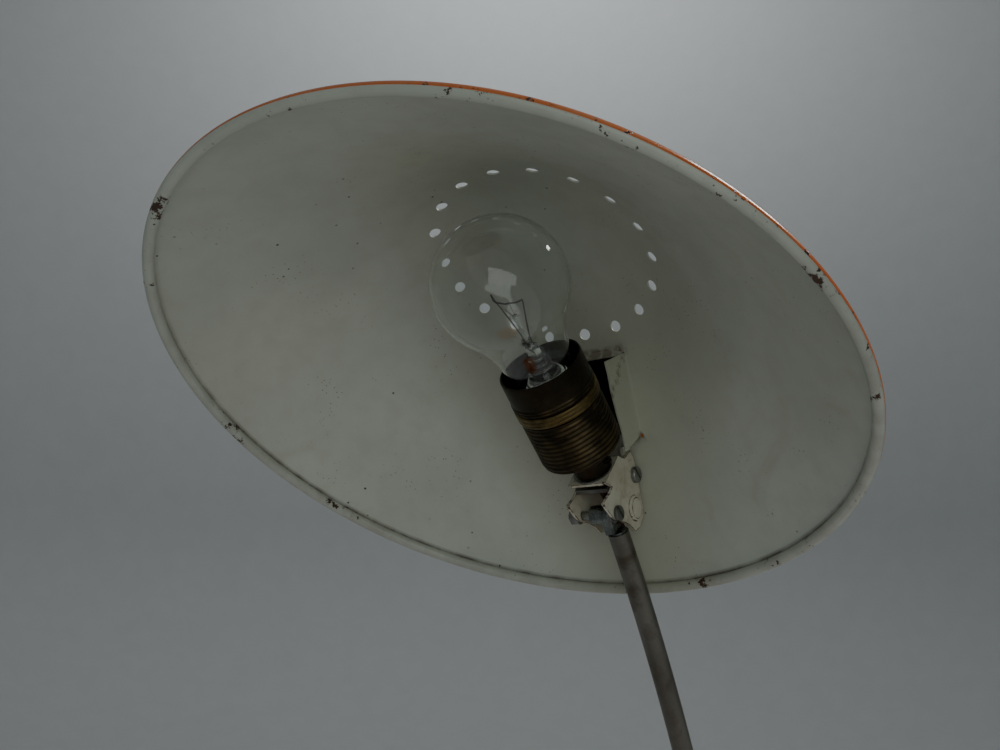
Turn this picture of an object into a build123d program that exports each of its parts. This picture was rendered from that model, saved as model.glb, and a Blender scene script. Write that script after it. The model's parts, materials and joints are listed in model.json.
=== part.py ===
from build123d import *
from math import asin, atan2, cos, degrees, hypot, radians, sin, sqrt, tan
import os

# Examination lamp for a bench: an enamelled steel shade on a bent steel tube with a weighted round base.
# Row frame: millimetres, +Z up, +X the way the bulb points, origin under the middle of the base.
# The head has a frame of its own, with its origin at the rim's centre:
# x runs along the rim plane to the front, z into the bowl.

# Driving dimensions
SHEET = 0.8
RIM_RADIUS = 149.0
BEAD_RADIUS = 2.4
BEAD_RING_RADIUS = 147.3
WALL_ANGLE = 40.2
CROWN_RADIUS = 93.0
VENT_COUNT = 18
VENT_RADIUS = 2.7
VENT_RING_RADIUS = 50.6
VENT_TURN = 4.0
SLOT_BACK = -90.0
SLOT_FRONT = -58.8
SLOT_HALF_WIDTH = 15.5
FLAP_FRONT_HEIGHT = 22.5
FLAP_REAR_HEIGHT = 18.6
FLAP_REAR_REACH = 3.5
LIP_HALF_WIDTH = 14.2
HOOD_LENGTH = 44.0
HOOD_WIDTH = 40.0
HOOD_HEIGHT = 15.0
HOOD_FLANGE = 5.5

HEAD_TILT = 27.5
HEAD_PLANE_Y = -7.0
PIN_BACK = -95.0
PIN_DEPTH = 8.0
PIN_RADIUS = 2.0
RUNNING_GAP = 0.05

HOLDER_ANGLE = 13.0
HOLDER_OFFSET = 12.0
PLATE = 1.5
CHEEK_INNER = 8.3
WEB_BACK = 15.1
WEB_FRONT = WEB_BACK + PLATE
WEB_LOW = 2.2
WEB_HIGH = 21.4
SHADE_SCREW_AT = (-0.2, 27.0)
SHADE_SCREW_RADIUS = 1.75
SHADE_SCREW_HEAD = 3.9
BOSS_AT = (-10.4, 14.8)

HOLDER_START = 17.6
SHELL_START = 31.0
SHELL_END = 56.6
RING_START = 57.0
RING_END = 62.5
HOLDER_MOUTH = 78.6
LOCK_SCREW_HEIGHT = 21.9
SHELL_PITCH = 2.3
SOCKET_PITCH = 3.63
BULB_TIP = 45.0
BULB_CENTRE = 120.0
BULB_RADIUS = 30.0
BULB_NECK_RADIUS = 15.6
BULB_NECK_TOP = 77.0
BULB_FOOT_RADIUS = 13.2
BULB_FOOT = 67.5
GLASS = 0.8
FILAMENT_TURN = -26.0

STEM_RADIUS = 5.0
STEM_BORE = 4.0
STEM_BACK = -60.0
STEM_TOP_ANGLE = 53.5
STEM_MID_ANGLE = 62.0
UPPER_BEND = 850.0
LOWER_BEND = 450.0
STEM_STRAIGHT = 72.0
EYE_REACH = 9.5
EYE_RADIUS = 4.4
EYE_LEFT = -10.3
EYE_RIGHT = 0.3
TONGUE_LEFT = -5.0

BASE_RADIUS = 105.0
FELT = 2.0
BASE_TOP = 24.0
CAVITY_RADIUS = 78.0
CAVITY_TOP = 17.0
PLATE_RADIUS = 86.0
PLATE_TOP = 3.6
LIP_CLEARANCE = 0.3
SWITCH_AT = 52.0
INLET_HEIGHT = 10.5
CORD_RADIUS = 3.25
LEAD_RADIUS = 1.9
LEAD_EXIT = 34.0
LEAD_BEND = 5.0
INLET_ANGLE = 210.0
BLOCK_BACK = -36.0
BLOCK_SIZE = (24.0, 18.0, 9.0)

# Places worked out from them
WALL_SIN = sin(radians(WALL_ANGLE))
WALL_COS = cos(radians(WALL_ANGLE))
CROWN_EDGE = CROWN_RADIUS * WALL_SIN
CROWN_CENTRE = (RIM_RADIUS - CROWN_EDGE) * tan(radians(WALL_ANGLE)) - CROWN_RADIUS * WALL_COS


def on_slope(start, angle, length):
    """The point that lies length away from start, at an angle above +X."""
    return (start[0] + length * cos(radians(angle)), start[1] + length * sin(radians(angle)))


def arc_end(start, radius, from_angle, to_angle):
    """Where an arc ends that starts upwards at from_angle and turns forwards to to_angle."""
    along = start[0] + radius * (sin(radians(from_angle)) - sin(radians(to_angle)))
    up = start[1] + radius * (cos(radians(to_angle)) - cos(radians(from_angle)))
    return (along, up)


STEM_FOOT = (STEM_BACK, CAVITY_TOP - 4.6)
BEND_START = (STEM_BACK, BASE_TOP + STEM_STRAIGHT)
BEND_MIDDLE = arc_end(BEND_START, LOWER_BEND, 90.0, STEM_MID_ANGLE)
STEM_TOP = arc_end(BEND_MIDDLE, UPPER_BEND, STEM_MID_ANGLE, STEM_TOP_ANGLE)
PIN = on_slope(STEM_TOP, STEM_TOP_ANGLE, EYE_REACH)
PIN_TO_RIM = hypot(PIN_BACK, PIN_DEPTH)
PIN_TO_RIM_ANGLE = degrees(atan2(-PIN_DEPTH, -PIN_BACK)) + HEAD_TILT
RIM_CENTRE = on_slope(PIN, PIN_TO_RIM_ANGLE, PIN_TO_RIM)

# Frames: the head's own, the bracket's with its origin on the hinge pin, the lampholder's axis as +Z,
# and the stem's top end with +Z along the stem towards the pin.
HEAD = Pos(RIM_CENTRE[0], HEAD_PLANE_Y, RIM_CENTRE[1]) * Rot(0, -HEAD_TILT, 0)
BRACKET = HEAD * Pos(PIN_BACK, 0, PIN_DEPTH) * Rot(0, -HOLDER_ANGLE, 0)
HOLDER = BRACKET * Pos(0, 0, HOLDER_OFFSET) * Rot(0, 90, 0)
FILAMENT = HOLDER * Rot(0, 0, FILAMENT_TURN)
STEM_END = Pos(STEM_TOP[0], 0, STEM_TOP[1]) * Rot(0, 90 - STEM_TOP_ANGLE, 0)


def turned(*outline):
    """A solid turned about Z from (radius, height) points."""
    face = Plane.XZ * make_face(Polyline(*outline, close=True))
    return revolve(face, Axis.Z)


def pipe(outer, inner, low, high):
    """A round tube or washer along Z."""
    return turned((inner, low), (outer, low), (outer, high), (inner, high))


def rod(radius, low, high):
    """A round bar along Z."""
    return Pos(0, 0, low) * Cylinder(radius, high - low, align=(Align.CENTER, Align.CENTER, Align.MIN))


def hexagon(across, low, high):
    """A hexagonal bar along Z."""
    outline = RegularPolygon(across / 2, 6, major_radius=False)
    return Pos(0, 0, low) * extrude(outline, high - low)


def across(shape):
    """A shape drawn along Z, laid along Y."""
    return Rot(-90, 0, 0) * shape


def ridges(crest, root, low, pitch, count, crest_end=None):
    """The outline points of a row of rounded ridges going up, from low; crest may taper to crest_end."""
    last = crest if crest_end is None else crest_end
    points = []
    for turn in range(count):
        shift = (last - crest) * turn / count
        start = low + turn * pitch
        points.append((root + shift, start))
        points.append((crest + shift, start + 0.3 * pitch))
        points.append((crest + shift, start + 0.7 * pitch))
    points.append((root + last - crest, low + count * pitch))
    return points


def cable(points, radius, bends):
    """A round lead along straight runs joined by tangent arcs."""
    route = FilletPolyline(*points, radius=bends)
    start = Plane(origin=route @ 0, z_dir=route % 0)
    return sweep(start * Circle(radius), path=route)


# Shade
def skin(inside, outside):
    """The bowl's wall between two distances out from the sheet's inner face."""

    def wall_point(offset):
        return (RIM_RADIUS + offset * WALL_SIN, offset * WALL_COS)

    def crown_point(offset, angle):
        reach = CROWN_RADIUS + offset
        return (reach * sin(radians(angle)), CROWN_CENTRE + reach * cos(radians(angle)))

    def crown(offset):
        return ThreePointArc(
            crown_point(offset, WALL_ANGLE), crown_point(offset, WALL_ANGLE / 2), crown_point(offset, 0)
        )

    outline = [
        Line(wall_point(inside), crown_point(inside, WALL_ANGLE)),
        crown(inside),
        Line(crown_point(inside, 0), crown_point(outside, 0)),
        crown(outside),
        Line(crown_point(outside, WALL_ANGLE), wall_point(outside)),
        Line(wall_point(outside), wall_point(inside)),
    ]
    return revolve(Plane.XZ * make_face(outline), Axis.Z)


def wall_depth(back):
    """The depth of the bowl's inner face at a distance from its axis."""
    if back > CROWN_EDGE:
        return (RIM_RADIUS - back) * tan(radians(WALL_ANGLE))
    return CROWN_CENTRE + sqrt(CROWN_RADIUS**2 - back**2)


def from_wall(back, inwards):
    """A point behind the bowl's axis, a distance in from the rear wall's inner face."""
    return (-back + inwards * WALL_SIN, wall_depth(back) - inwards * WALL_COS)


def side_plate(outline, near, far):
    """A plate across Y with an (x, z) outline, between two places on Y."""
    face = Plane.XZ * make_face(Polyline(*outline, close=True))
    return Pos(0, far, 0) * extrude(face, far - near)


def on_both_sides(shape):
    """The shape with its mirror image across the head's own symmetry plane."""
    return [shape, mirror(shape, Plane.XZ)]


def vents():
    """The ring of cooling holes through the crown, square to it."""
    lean = degrees(asin(VENT_RING_RADIUS / CROWN_RADIUS))
    hole = Pos(0, 0, CROWN_CENTRE) * Rot(0, lean, 0) * Pos(0, 0, CROWN_RADIUS) * Cylinder(VENT_RADIUS, 6)
    return [Rot(0, 0, VENT_TURN + step * 360 / VENT_COUNT) * hole for step in range(VENT_COUNT)]


SCREW_IN_HEAD = (Pos(PIN_BACK, 0, PIN_DEPTH) * Rot(0, -HOLDER_ANGLE, 0) * Pos(
    SHADE_SCREW_AT[0], 0, SHADE_SCREW_AT[1]
)).position
EAR_OUTER = CHEEK_INNER - 0.1
EAR_HALF = 5.0


def shade():
    """The pressed bowl with wired rim and vents; the slot's sides are folded in as flaps, its front a lip."""
    bowl = skin(0, SHEET) + Torus(BEAD_RING_RADIUS, BEAD_RADIUS)
    slot_length = SLOT_FRONT - SLOT_BACK
    slot_middle = (SLOT_FRONT + SLOT_BACK) / 2
    bowl -= Pos(slot_middle, 0, 60) * Box(slot_length, 2 * SLOT_HALF_WIDTH, 60)
    bowl -= vents()
    sink = -SHEET / 2
    back, front = -SLOT_BACK, -SLOT_FRONT + 1.0
    flap_outline = [
        from_wall(back, sink),
        from_wall(front, sink),
        from_wall(front + 1.0, FLAP_FRONT_HEIGHT),
        from_wall(back + FLAP_REAR_REACH, FLAP_REAR_HEIGHT),
    ]
    bowl += on_both_sides(side_plate(flap_outline, SLOT_HALF_WIDTH - SHEET, SLOT_HALF_WIDTH))
    lip_outline = [
        from_wall(front - 1.4, -0.6),
        from_wall(front + 1.2, 0.9),
        from_wall(front + 0.8, 1.7),
        from_wall(front - 1.6, 0.3),
    ]
    bowl += side_plate(lip_outline, -LIP_HALF_WIDTH, LIP_HALF_WIDTH)
    bowl -= [Pos(SLOT_BACK, side, 50) * Cylinder(1.3, 30) for side in (-SLOT_HALF_WIDTH, SLOT_HALF_WIDTH)]
    ear_back = -SCREW_IN_HEAD.X
    ear_outline = [
        from_wall(ear_back + EAR_HALF, sink),
        from_wall(ear_back - EAR_HALF - 3.0, sink),
        from_wall(ear_back - EAR_HALF - 3.0, 8.0),
        from_wall(ear_back + EAR_HALF, 8.0),
    ]
    bowl += on_both_sides(side_plate(ear_outline, EAR_OUTER - 2 * SHEET, EAR_OUTER))
    bowl -= Pos(SCREW_IN_HEAD.X, 0, SCREW_IN_HEAD.Z) * across(
        Cylinder(SHADE_SCREW_RADIUS + 0.1, 4 * CHEEK_INNER)
    )
    return bowl


def slot_hood():
    """The pressed cover that closes the slot from outside, with a flange lying on the bowl."""
    middle = (SLOT_FRONT + SLOT_BACK) / 2
    here = Pos(middle, 0, wall_depth(-middle)) * Rot(0, -WALL_ANGLE, 0)
    lift = HOOD_HEIGHT + 10
    shell = fillet(Box(HOOD_LENGTH, HOOD_WIDTH, 2 * lift).edges(), 7.0)
    inner = Box(HOOD_LENGTH - 2 * SHEET, HOOD_WIDTH - 2 * SHEET, 2 * lift - 2 * SHEET)
    hollow = fillet(inner.edges(), 7.0 - SHEET)
    drop = Pos(0, 0, HOOD_HEIGHT - lift)
    body = here * drop * shell
    room = here * drop * hollow
    flange_box = Box(HOOD_LENGTH + 2 * HOOD_FLANGE, HOOD_WIDTH + 2 * HOOD_FLANGE, 4 * HOOD_HEIGHT)
    flange = skin(SHEET, 2 * SHEET) & (here * flange_box)
    below = turned((0, -60), (RIM_RADIUS + 40, -60), (RIM_RADIUS + 40, 0), (RIM_RADIUS + 20, 0), (0, 0))
    bowl_inside = below + skin(-40, SHEET)
    return (body - bowl_inside) + flange - room


# Bracket and hinge
def cheek_outline():
    """The outline of a bracket cheek, around the hinge pin, with its rear corners rounded."""
    sharp = Polyline(
        (WEB_FRONT, WEB_LOW),
        (10.9, 6.0),
        (10.5, 1.7),
        (11.9, -6.0),
        (10.2, -6.4),
        (1.3, -4.4),
        (-8.4, 2.7),
        (-12.2, 5.1),
        (-18.0, 7.0),
        (-19.8, 12.5),
        (-19.2, 19.8),
        (-12.9, 23.6),
        (-8.0, 26.6),
        (4.1, 32.6),
        (9.6, 33.4),
        (11.3, 25.3),
        (WEB_FRONT, WEB_HIGH),
        close=True,
    )
    face = make_face(sharp)
    rear = face.vertices().sort_by(Axis.X)[0:3]
    return Plane.XZ * fillet(rear, 2.4)


def bracket():
    """The U-shaped bracket: a web that carries the lampholder and two cheeks that hold the hinge pin."""
    cheek = Pos(0, CHEEK_INNER + PLATE, 0) * extrude(cheek_outline(), PLATE)
    boss = Pos(BOSS_AT[0], CHEEK_INNER + PLATE, BOSS_AT[1]) * across(
        turned((0, -0.6), (6.2, -0.6), (5.9, 0.7), (4.9, 1.3), (0, 1.5))
    )
    web_size = (PLATE, 2 * CHEEK_INNER + 0.2, WEB_HIGH - WEB_LOW)
    web = Pos(WEB_BACK + PLATE / 2, 0, (WEB_LOW + WEB_HIGH) / 2) * Box(*web_size)
    shape = web + on_both_sides(cheek) + on_both_sides(boss)
    shape -= across(Cylinder(PIN_RADIUS, 4 * CHEEK_INNER))
    shape -= Pos(SHADE_SCREW_AT[0], 0, SHADE_SCREW_AT[1]) * across(
        Cylinder(SHADE_SCREW_RADIUS + 0.1, 4 * CHEEK_INNER)
    )
    shape -= Pos(WEB_BACK, 0, HOLDER_OFFSET) * Rot(0, 90, 0) * Cylinder(5.2, 6)
    return shape


def bracket_tie():
    """The flat bar between the cheeks, under the web."""
    return Pos(11.1, 0, 4.6) * fillet(Box(2.5, 2 * CHEEK_INNER, 2.8).edges().filter_by(Axis.Y), 0.4)


def slotted_screw(shank, length, head, height):
    """A cheese-head screw along -Z from its head's underside at z = 0."""
    body = rod(shank, -length, 0) + fillet(rod(head, 0, height).edges().sort_by(Axis.Z)[-1], height / 3)
    return body - Pos(0, 0, height) * Box(2 * head, 1.0, height)


def hinge_screw():
    """The hinge pin: a slotted screw through both cheeks and the stem's eye."""
    outside = CHEEK_INNER + PLATE
    return Pos(0, outside, 0) * across(slotted_screw(PIN_RADIUS, 2 * outside + 5.2, 3.7, 1.9))


def hinge_nut():
    """The nut on the far end of the hinge pin."""
    outside = CHEEK_INNER + PLATE
    nut = hexagon(7.0, -outside - 4.2, -outside - 1.0) - rod(PIN_RADIUS, -outside - 6.0, -outside)
    return across(nut)


def hinge_washers():
    """The friction washer beside the eye and the spring washer under the nut."""
    outside = CHEEK_INNER + PLATE
    friction = pipe(4.4, PIN_RADIUS, CHEEK_INNER - 0.8, CHEEK_INNER)
    spring = pipe(3.9, PIN_RADIUS, -outside - 1.0, -outside)
    return [across(friction), across(spring)]


def shade_screws():
    """The two screws that hold the bowl's ears to the cheeks."""
    here = Pos(SHADE_SCREW_AT[0], CHEEK_INNER + PLATE, SHADE_SCREW_AT[1])
    return on_both_sides(here * across(slotted_screw(SHADE_SCREW_RADIUS, 7.0, SHADE_SCREW_HEAD, 2.2)))


def shade_nuts():
    """The nuts on the shade screws, inside the ears."""
    inside = EAR_OUTER - 2 * SHEET
    nut = hexagon(6.0, inside - 2.4, inside) - rod(SHADE_SCREW_RADIUS, inside - 3, inside + 1)
    here = Pos(SHADE_SCREW_AT[0], 0, SHADE_SCREW_AT[1])
    return on_both_sides(here * across(nut))


# Lampholder, along its own axis
def holder_nipple():
    """The hollow threaded tube that joins the lampholder to the web."""
    return pipe(5.0, 3.1, 10.0, 25.0)


def holder_locknut():
    """The nut behind the web."""
    return hexagon(13.0, WEB_BACK - 2.6, WEB_BACK) - rod(5.0, 0, 30)


def holder_washer():
    """The washer between the web and the lampholder."""
    return pipe(9.6, 5.0, WEB_FRONT, HOLDER_START)


def holder_cap():
    """The domed brass cap with a neck that screws onto the nipple."""
    dome = turned(
        (5.0, HOLDER_START),
        (8.3, HOLDER_START),
        (8.6, 25.0),
        (11.0, 26.0),
        (15.0, 28.0),
        (17.8, 30.0),
        (18.6, SHELL_START),
        (16.2, SHELL_START),
        (16.2, 36.0),
        (15.2, 36.0),
        (15.2, 31.0),
        (10.5, 28.6),
        (5.0, 27.4),
    )
    return dome - Pos(0, 7.0, LOCK_SCREW_HEIGHT) * across(Cylinder(1.3, 5.0))


def holder_lock_screw():
    """The set screw in the side of the cap's neck."""
    screw = rod(1.3, -3.4, 0) + rod(1.7, 0, 2.6) - Pos(0, 0, 2.6) * Box(6, 0.7, 1.6)
    return Pos(0, 8.5, LOCK_SCREW_HEIGHT) * across(screw)


def holder_shell():
    """The threaded brass sleeve of the lampholder."""
    count = int((SHELL_END - SHELL_START) / SHELL_PITCH)
    outer = ridges(19.5, 18.9, SHELL_START, SHELL_PITCH, count)
    return turned((16.2, SHELL_START), *outer, (18.9, SHELL_END), (16.2, SHELL_END))


def holder_ring():
    """The brass ring that runs on the sleeve's thread, with two grooves."""
    return turned(
        (16.2, RING_START),
        (19.4, RING_START),
        (19.9, RING_START + 0.6),
        (19.9, RING_START + 1.5),
        (19.5, RING_START + 1.8),
        (19.9, RING_START + 2.1),
        (19.9, RING_END - 2.1),
        (19.5, RING_END - 1.8),
        (19.9, RING_END - 1.5),
        (19.9, RING_END - 0.5),
        (19.4, RING_END),
        (16.2, RING_END),
    )


def holder_skirt():
    """The plain skirt round the mouth, screwed into the sleeve."""
    return turned(
        (15.3, 45.0),
        (16.1, 45.0),
        (16.1, RING_END + 0.1),
        (19.2, RING_END + 0.1),
        *ridges(19.8, 19.3, RING_END + 0.8, 1.5, 2),
        (19.4, HOLDER_MOUTH - 1.0),
        (19.2, HOLDER_MOUTH),
        (18.4, HOLDER_MOUTH),
        (18.1, RING_END + 1.4),
        (15.3, RING_END + 1.4),
    )


def holder_insert():
    """The ceramic core that carries the socket and its contacts."""
    core = turned((0, 33.0), (14.9, 33.0), (14.9, 46.0), (8.0, 46.0), (8.0, 42.0), (0, 42.0))
    core -= [Pos(0, side, 0) * rod(1.6, 30, 50) for side in (-11.0, 11.0)]
    return core - rod(1.2, 30, 50)


def socket_shell():
    """The brass screw socket that takes the bulb's cap."""
    inner = ridges(13.45, 13.95, 47.0, SOCKET_PITCH, 5)
    outline = [(14.6, 46.0), (14.6, 65.6), (13.95, 65.6)] + inner[::-1] + [(13.95, 46.0)]
    return turned(*outline)


def centre_contact():
    """The spring tongue under the bulb and its rivet through the core."""
    rivet = rod(1.2, 31.5, 42.6) + rod(2.6, 31.0, 33.0)
    tongue = Pos(1.5, 0, 42.3) * Box(9.0, 4.0, 0.6)
    bend = Pos(5.2, 0, 43.4) * Box(0.6, 4.0, 1.6)
    pad = Pos(1.7, 0, 44.4) * Box(7.6, 4.0, 0.5)
    return rivet + tongue + bend + pad


def holder_terminals():
    """The two terminal screws behind the ceramic core."""
    screw = Rot(180, 0, 0) * slotted_screw(1.6, 12.0, 2.7, 2.0)
    return [Pos(0, side, 33.0) * screw for side in (-11.0, 11.0)]


# Bulb, along the lampholder's axis
def bulb_envelope(wall):
    """The solid inside the bulb's outer face, less a wall thickness: a ball with a neck and a foot."""
    ball = BULB_RADIUS - wall
    neck = BULB_NECK_RADIUS - wall
    foot = BULB_FOOT_RADIUS - wall
    drop = BULB_CENTRE - BULB_NECK_TOP
    blend = (neck**2 + drop**2 - ball**2) / (2 * (ball - neck))
    touch_angle = degrees(atan2(drop, neck + blend))
    touch = (ball * cos(radians(touch_angle)), BULB_CENTRE - ball * sin(radians(touch_angle)))
    mid = radians((90 - touch_angle) / 2)
    half = radians(touch_angle / 2)
    outline = [
        Polyline((0, BULB_FOOT), (foot, BULB_FOOT), (foot, 71.8), (neck - 0.5, 75.2), (neck, BULB_NECK_TOP)),
        ThreePointArc(
            (neck, BULB_NECK_TOP),
            (neck + blend - blend * cos(half), BULB_NECK_TOP + blend * sin(half)),
            touch,
        ),
        ThreePointArc(touch, (ball * cos(mid), BULB_CENTRE + ball * sin(mid)), (0, BULB_CENTRE + ball)),
        Line((0, BULB_CENTRE + ball), (0, BULB_FOOT)),
    ]
    return revolve(Plane.XZ * make_face(outline), Axis.Z)


def bulb_glass():
    """The clear glass envelope."""
    return bulb_envelope(0) - bulb_envelope(GLASS)


def bulb_cap():
    """The rolled screw cap with its collar round the glass."""
    outer = ridges(13.1, 12.4, 49.5, SOCKET_PITCH, 4)
    return turned(
        (7.0, 47.6),
        (11.6, 48.6),
        (12.4, 49.5),
        *outer[1:],
        (12.4, 66.0),
        (14.0, 67.0),
        (14.0, 71.4),
        (13.3, 71.4),
        (13.3, 67.3),
        (11.9, 66.6),
        (11.9, 50.2),
        (11.2, 49.3),
        (7.0, 48.3),
    )


def bulb_insulator():
    """The glass bead that insulates the centre contact from the cap."""
    return turned((3.4, 46.4), (4.6, 46.2), (7.0, 47.5), (7.0, 48.9), (3.4, 48.9))


def bulb_contact():
    """The solder tip of the cap."""
    return turned((0, BULB_TIP), (2.4, BULB_TIP + 0.3), (3.4, BULB_TIP + 1.3), (3.4, 48.9), (0, 48.9))


def bulb_stem():
    """The glass foot inside the bulb, from its flare in the neck to the flat pinch."""
    flare = turned((0, 68.2), (12.2, 68.2), (9.0, 72.0), (4.4, 77.0), (3.6, 84.0), (0, 84.0))
    pinch = Pos(0, 0, 87.0) * fillet(Box(2.6, 9.0, 8.0).edges(), 1.0)
    post = rod(1.3, 88.0, 102.4) + Pos(0, 0, 103.0) * Sphere(1.9)
    return flare + pinch + post


LEAD_TOP = 113.0
LEAD_SPREAD = 11.3


def strut(start, end, radius):
    """A thin straight wire between two points."""
    line = Line(start, end)
    return sweep(Plane(origin=line @ 0, z_dir=line % 0) * Circle(radius), path=line)


def bulb_leads():
    """The two wires that carry the filament."""
    return on_both_sides(strut((0, 3.0, 91.2), (0, LEAD_SPREAD, LEAD_TOP), 0.35))


FILAMENT_POINTS = [(0, -LEAD_SPREAD), (3.2, -5.6), (4.2, 0.0), (3.2, 5.6), (0, LEAD_SPREAD)]
FILAMENT_HEIGHT = LEAD_TOP + 0.6


def filament_supports():
    """The fine hooks between the post's glass button and the filament."""
    hooks = []
    for x, y in FILAMENT_POINTS[1:-1]:
        hooks.append(strut((0.2 * x, 0.15 * y, 105.1), (x, y, FILAMENT_HEIGHT - 0.7), 0.15))
    return hooks


def bulb_filament():
    """The coiled tungsten filament, as a plain round strand of the coil's own size."""
    route = Polyline(*[(x, y, FILAMENT_HEIGHT) for x, y in FILAMENT_POINTS])
    start = Plane(origin=route @ 0, z_dir=route % 0)
    return sweep(start * Circle(0.4), path=route, transition=Transition.RIGHT)


# Stand
def lead_at(length):
    """The point on the stem's centre line that lies a length below its top end."""
    angle = STEM_TOP_ANGLE + degrees(length / UPPER_BEND)
    along, up = arc_end(BEND_MIDDLE, UPPER_BEND, STEM_MID_ANGLE, angle)
    return (along, up)


def bends(end_angle):
    """The stem's two forward bends, from the top of its straight run to an end angle."""
    lower_mid = arc_end(BEND_START, LOWER_BEND, 90.0, (90.0 + STEM_MID_ANGLE) / 2)
    upper_mid = arc_end(BEND_MIDDLE, UPPER_BEND, STEM_MID_ANGLE, (STEM_MID_ANGLE + end_angle) / 2)
    upper_end = arc_end(BEND_MIDDLE, UPPER_BEND, STEM_MID_ANGLE, end_angle)
    return [
        ThreePointArc(BEND_START, lower_mid, BEND_MIDDLE),
        ThreePointArc(BEND_MIDDLE, upper_mid, upper_end),
    ]


def swept(edges, radius):
    """A round bar along edges drawn in the stand's own plane."""
    route = Plane.XZ * Wire(edges)
    start = Plane(origin=route @ 0, z_dir=route % 0)
    return sweep(start * Circle(radius), path=route)


def stem():
    """The bent steel tube, with the slot near its top where the lead comes out."""
    route = [Line(STEM_FOOT, BEND_START)] + bends(STEM_TOP_ANGLE)
    tube = swept(route, STEM_RADIUS) - swept(route, STEM_BORE)
    slot = Pos(-STEM_RADIUS, 0, -17.0) * fillet(Box(8.0, 5.0, 15.0).edges().filter_by(Axis.X), 2.2)
    return tube - STEM_END * slot


def stem_eye():
    """The zinc-plated eye: a spigot in the tube, a flat tongue by the right cheek, a knuckle on the pin."""
    knuckle = Pos(0, (EYE_LEFT + EYE_RIGHT) / 2, EYE_REACH) * across(
        fillet(Cylinder(EYE_RADIUS, EYE_RIGHT - EYE_LEFT).edges(), 0.8)
    )
    tongue_size = (7.6, EYE_RIGHT - TONGUE_LEFT, EYE_REACH)
    tongue = Pos(0, (EYE_RIGHT + TONGUE_LEFT) / 2, EYE_REACH / 2) * fillet(Box(*tongue_size).edges(), 0.8)
    shape = knuckle + tongue + rod(STEM_BORE, -7.0, 0.9)
    shape -= Pos(0, 0, EYE_REACH) * across(Cylinder(PIN_RADIUS + RUNNING_GAP, 60))
    return shape


def stem_lead():
    """The two-core lead inside the stem, from the terminal block to the slot near the top."""
    height = STEM_FOOT[1] - LEAD_BEND
    corner = LEAD_BEND * (1 - cos(radians(45)))
    end_angle = STEM_TOP_ANGLE + degrees(LEAD_EXIT / UPPER_BEND)
    foot = [
        Line((BLOCK_BACK, height), (STEM_BACK + LEAD_BEND, height)),
        ThreePointArc(
            (STEM_BACK + LEAD_BEND, height), (STEM_BACK + corner, height + corner), (STEM_BACK, STEM_FOOT[1])
        ),
        Line((STEM_BACK, STEM_FOOT[1]), BEND_START),
    ]
    return swept(foot + bends(end_angle), LEAD_RADIUS)


def gentle_bends(points):
    """The largest bend that each corner of a route has room for."""
    vectors = [Vector(*b) - Vector(*a) for a, b in zip(points, points[1:])]
    radii = []
    for before, after in zip(vectors, vectors[1:]):
        run = min(before.length, after.length)
        turn = before.get_angle(after)
        radii.append(0.45 * run / tan(radians(turn / 2)))
    return radii


def head_lead():
    """The same lead outside the stem: through the slot, past the hinge and into the hollow nipple."""
    inside = lead_at(LEAD_EXIT)
    leaving = lead_at(LEAD_EXIT - 10.0)
    in_stem = [(inside[0], 0, inside[1]), (leaving[0], 0, leaving[1])]
    outside = [(STEM_END * Pos(*p)).position for p in ((-8.0, -1.0, -10.0), (-8.2, -3.5, 3.0))]
    in_nipple = [(HOLDER * Pos(0, 0, z)).position for z in (3.0, 24.0)]
    points = in_stem + [tuple(p) for p in outside + in_nipple]
    return cable(points, LEAD_RADIUS, gentle_bends(points))


def stem_collar():
    """The turned collar where the stem enters the base."""
    outline = [(STEM_RADIUS, 0), (14.0, 0), (14.0, 2.0), (12.5, 3.5), (8.5, 5.0), (7.5, 10.0), (6.5, 11.0)]
    return Pos(STEM_BACK, 0, BASE_TOP) * turned(*outline, (STEM_RADIUS, 11.0))


def stem_washer():
    """The washer under the base's top wall."""
    return Pos(STEM_BACK, 0, 0) * pipe(10.0, STEM_RADIUS, CAVITY_TOP - 1.0, CAVITY_TOP)


def stem_locknut():
    """The nut that pulls the stem's collar down on the base."""
    nut = hexagon(17.0, CAVITY_TOP - 4.6, CAVITY_TOP - 1.0) - rod(STEM_RADIUS, 0, CAVITY_TOP)
    return Pos(STEM_BACK, 0, 0) * nut


INLET = Rot(0, 0, INLET_ANGLE) * Pos(0, 0, INLET_HEIGHT) * Rot(0, 90, 0)
SWITCH_BODY_RADIUS = 10.0
SWITCH_NECK_RADIUS = 8.5
SWITCH_BORE = 7.0
BUTTON_RADIUS = 6.0
BUTTON_SHOULDER = 6.7
BUTTON_GAP = 0.3
BUTTON_LOW = 14.5
BUTTON_HIGH = 30.5
SPRING_LOW = 8.2
WIRE_RADIUS = 1.0
PLATE_SCREW_RING = 82.0


def plate_screw_places():
    """Where the three screws of the bottom plate are."""
    return [Rot(0, 0, 60 + turn * 120) * Pos(PLATE_SCREW_RING, 0, 0) for turn in range(3)]


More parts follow.
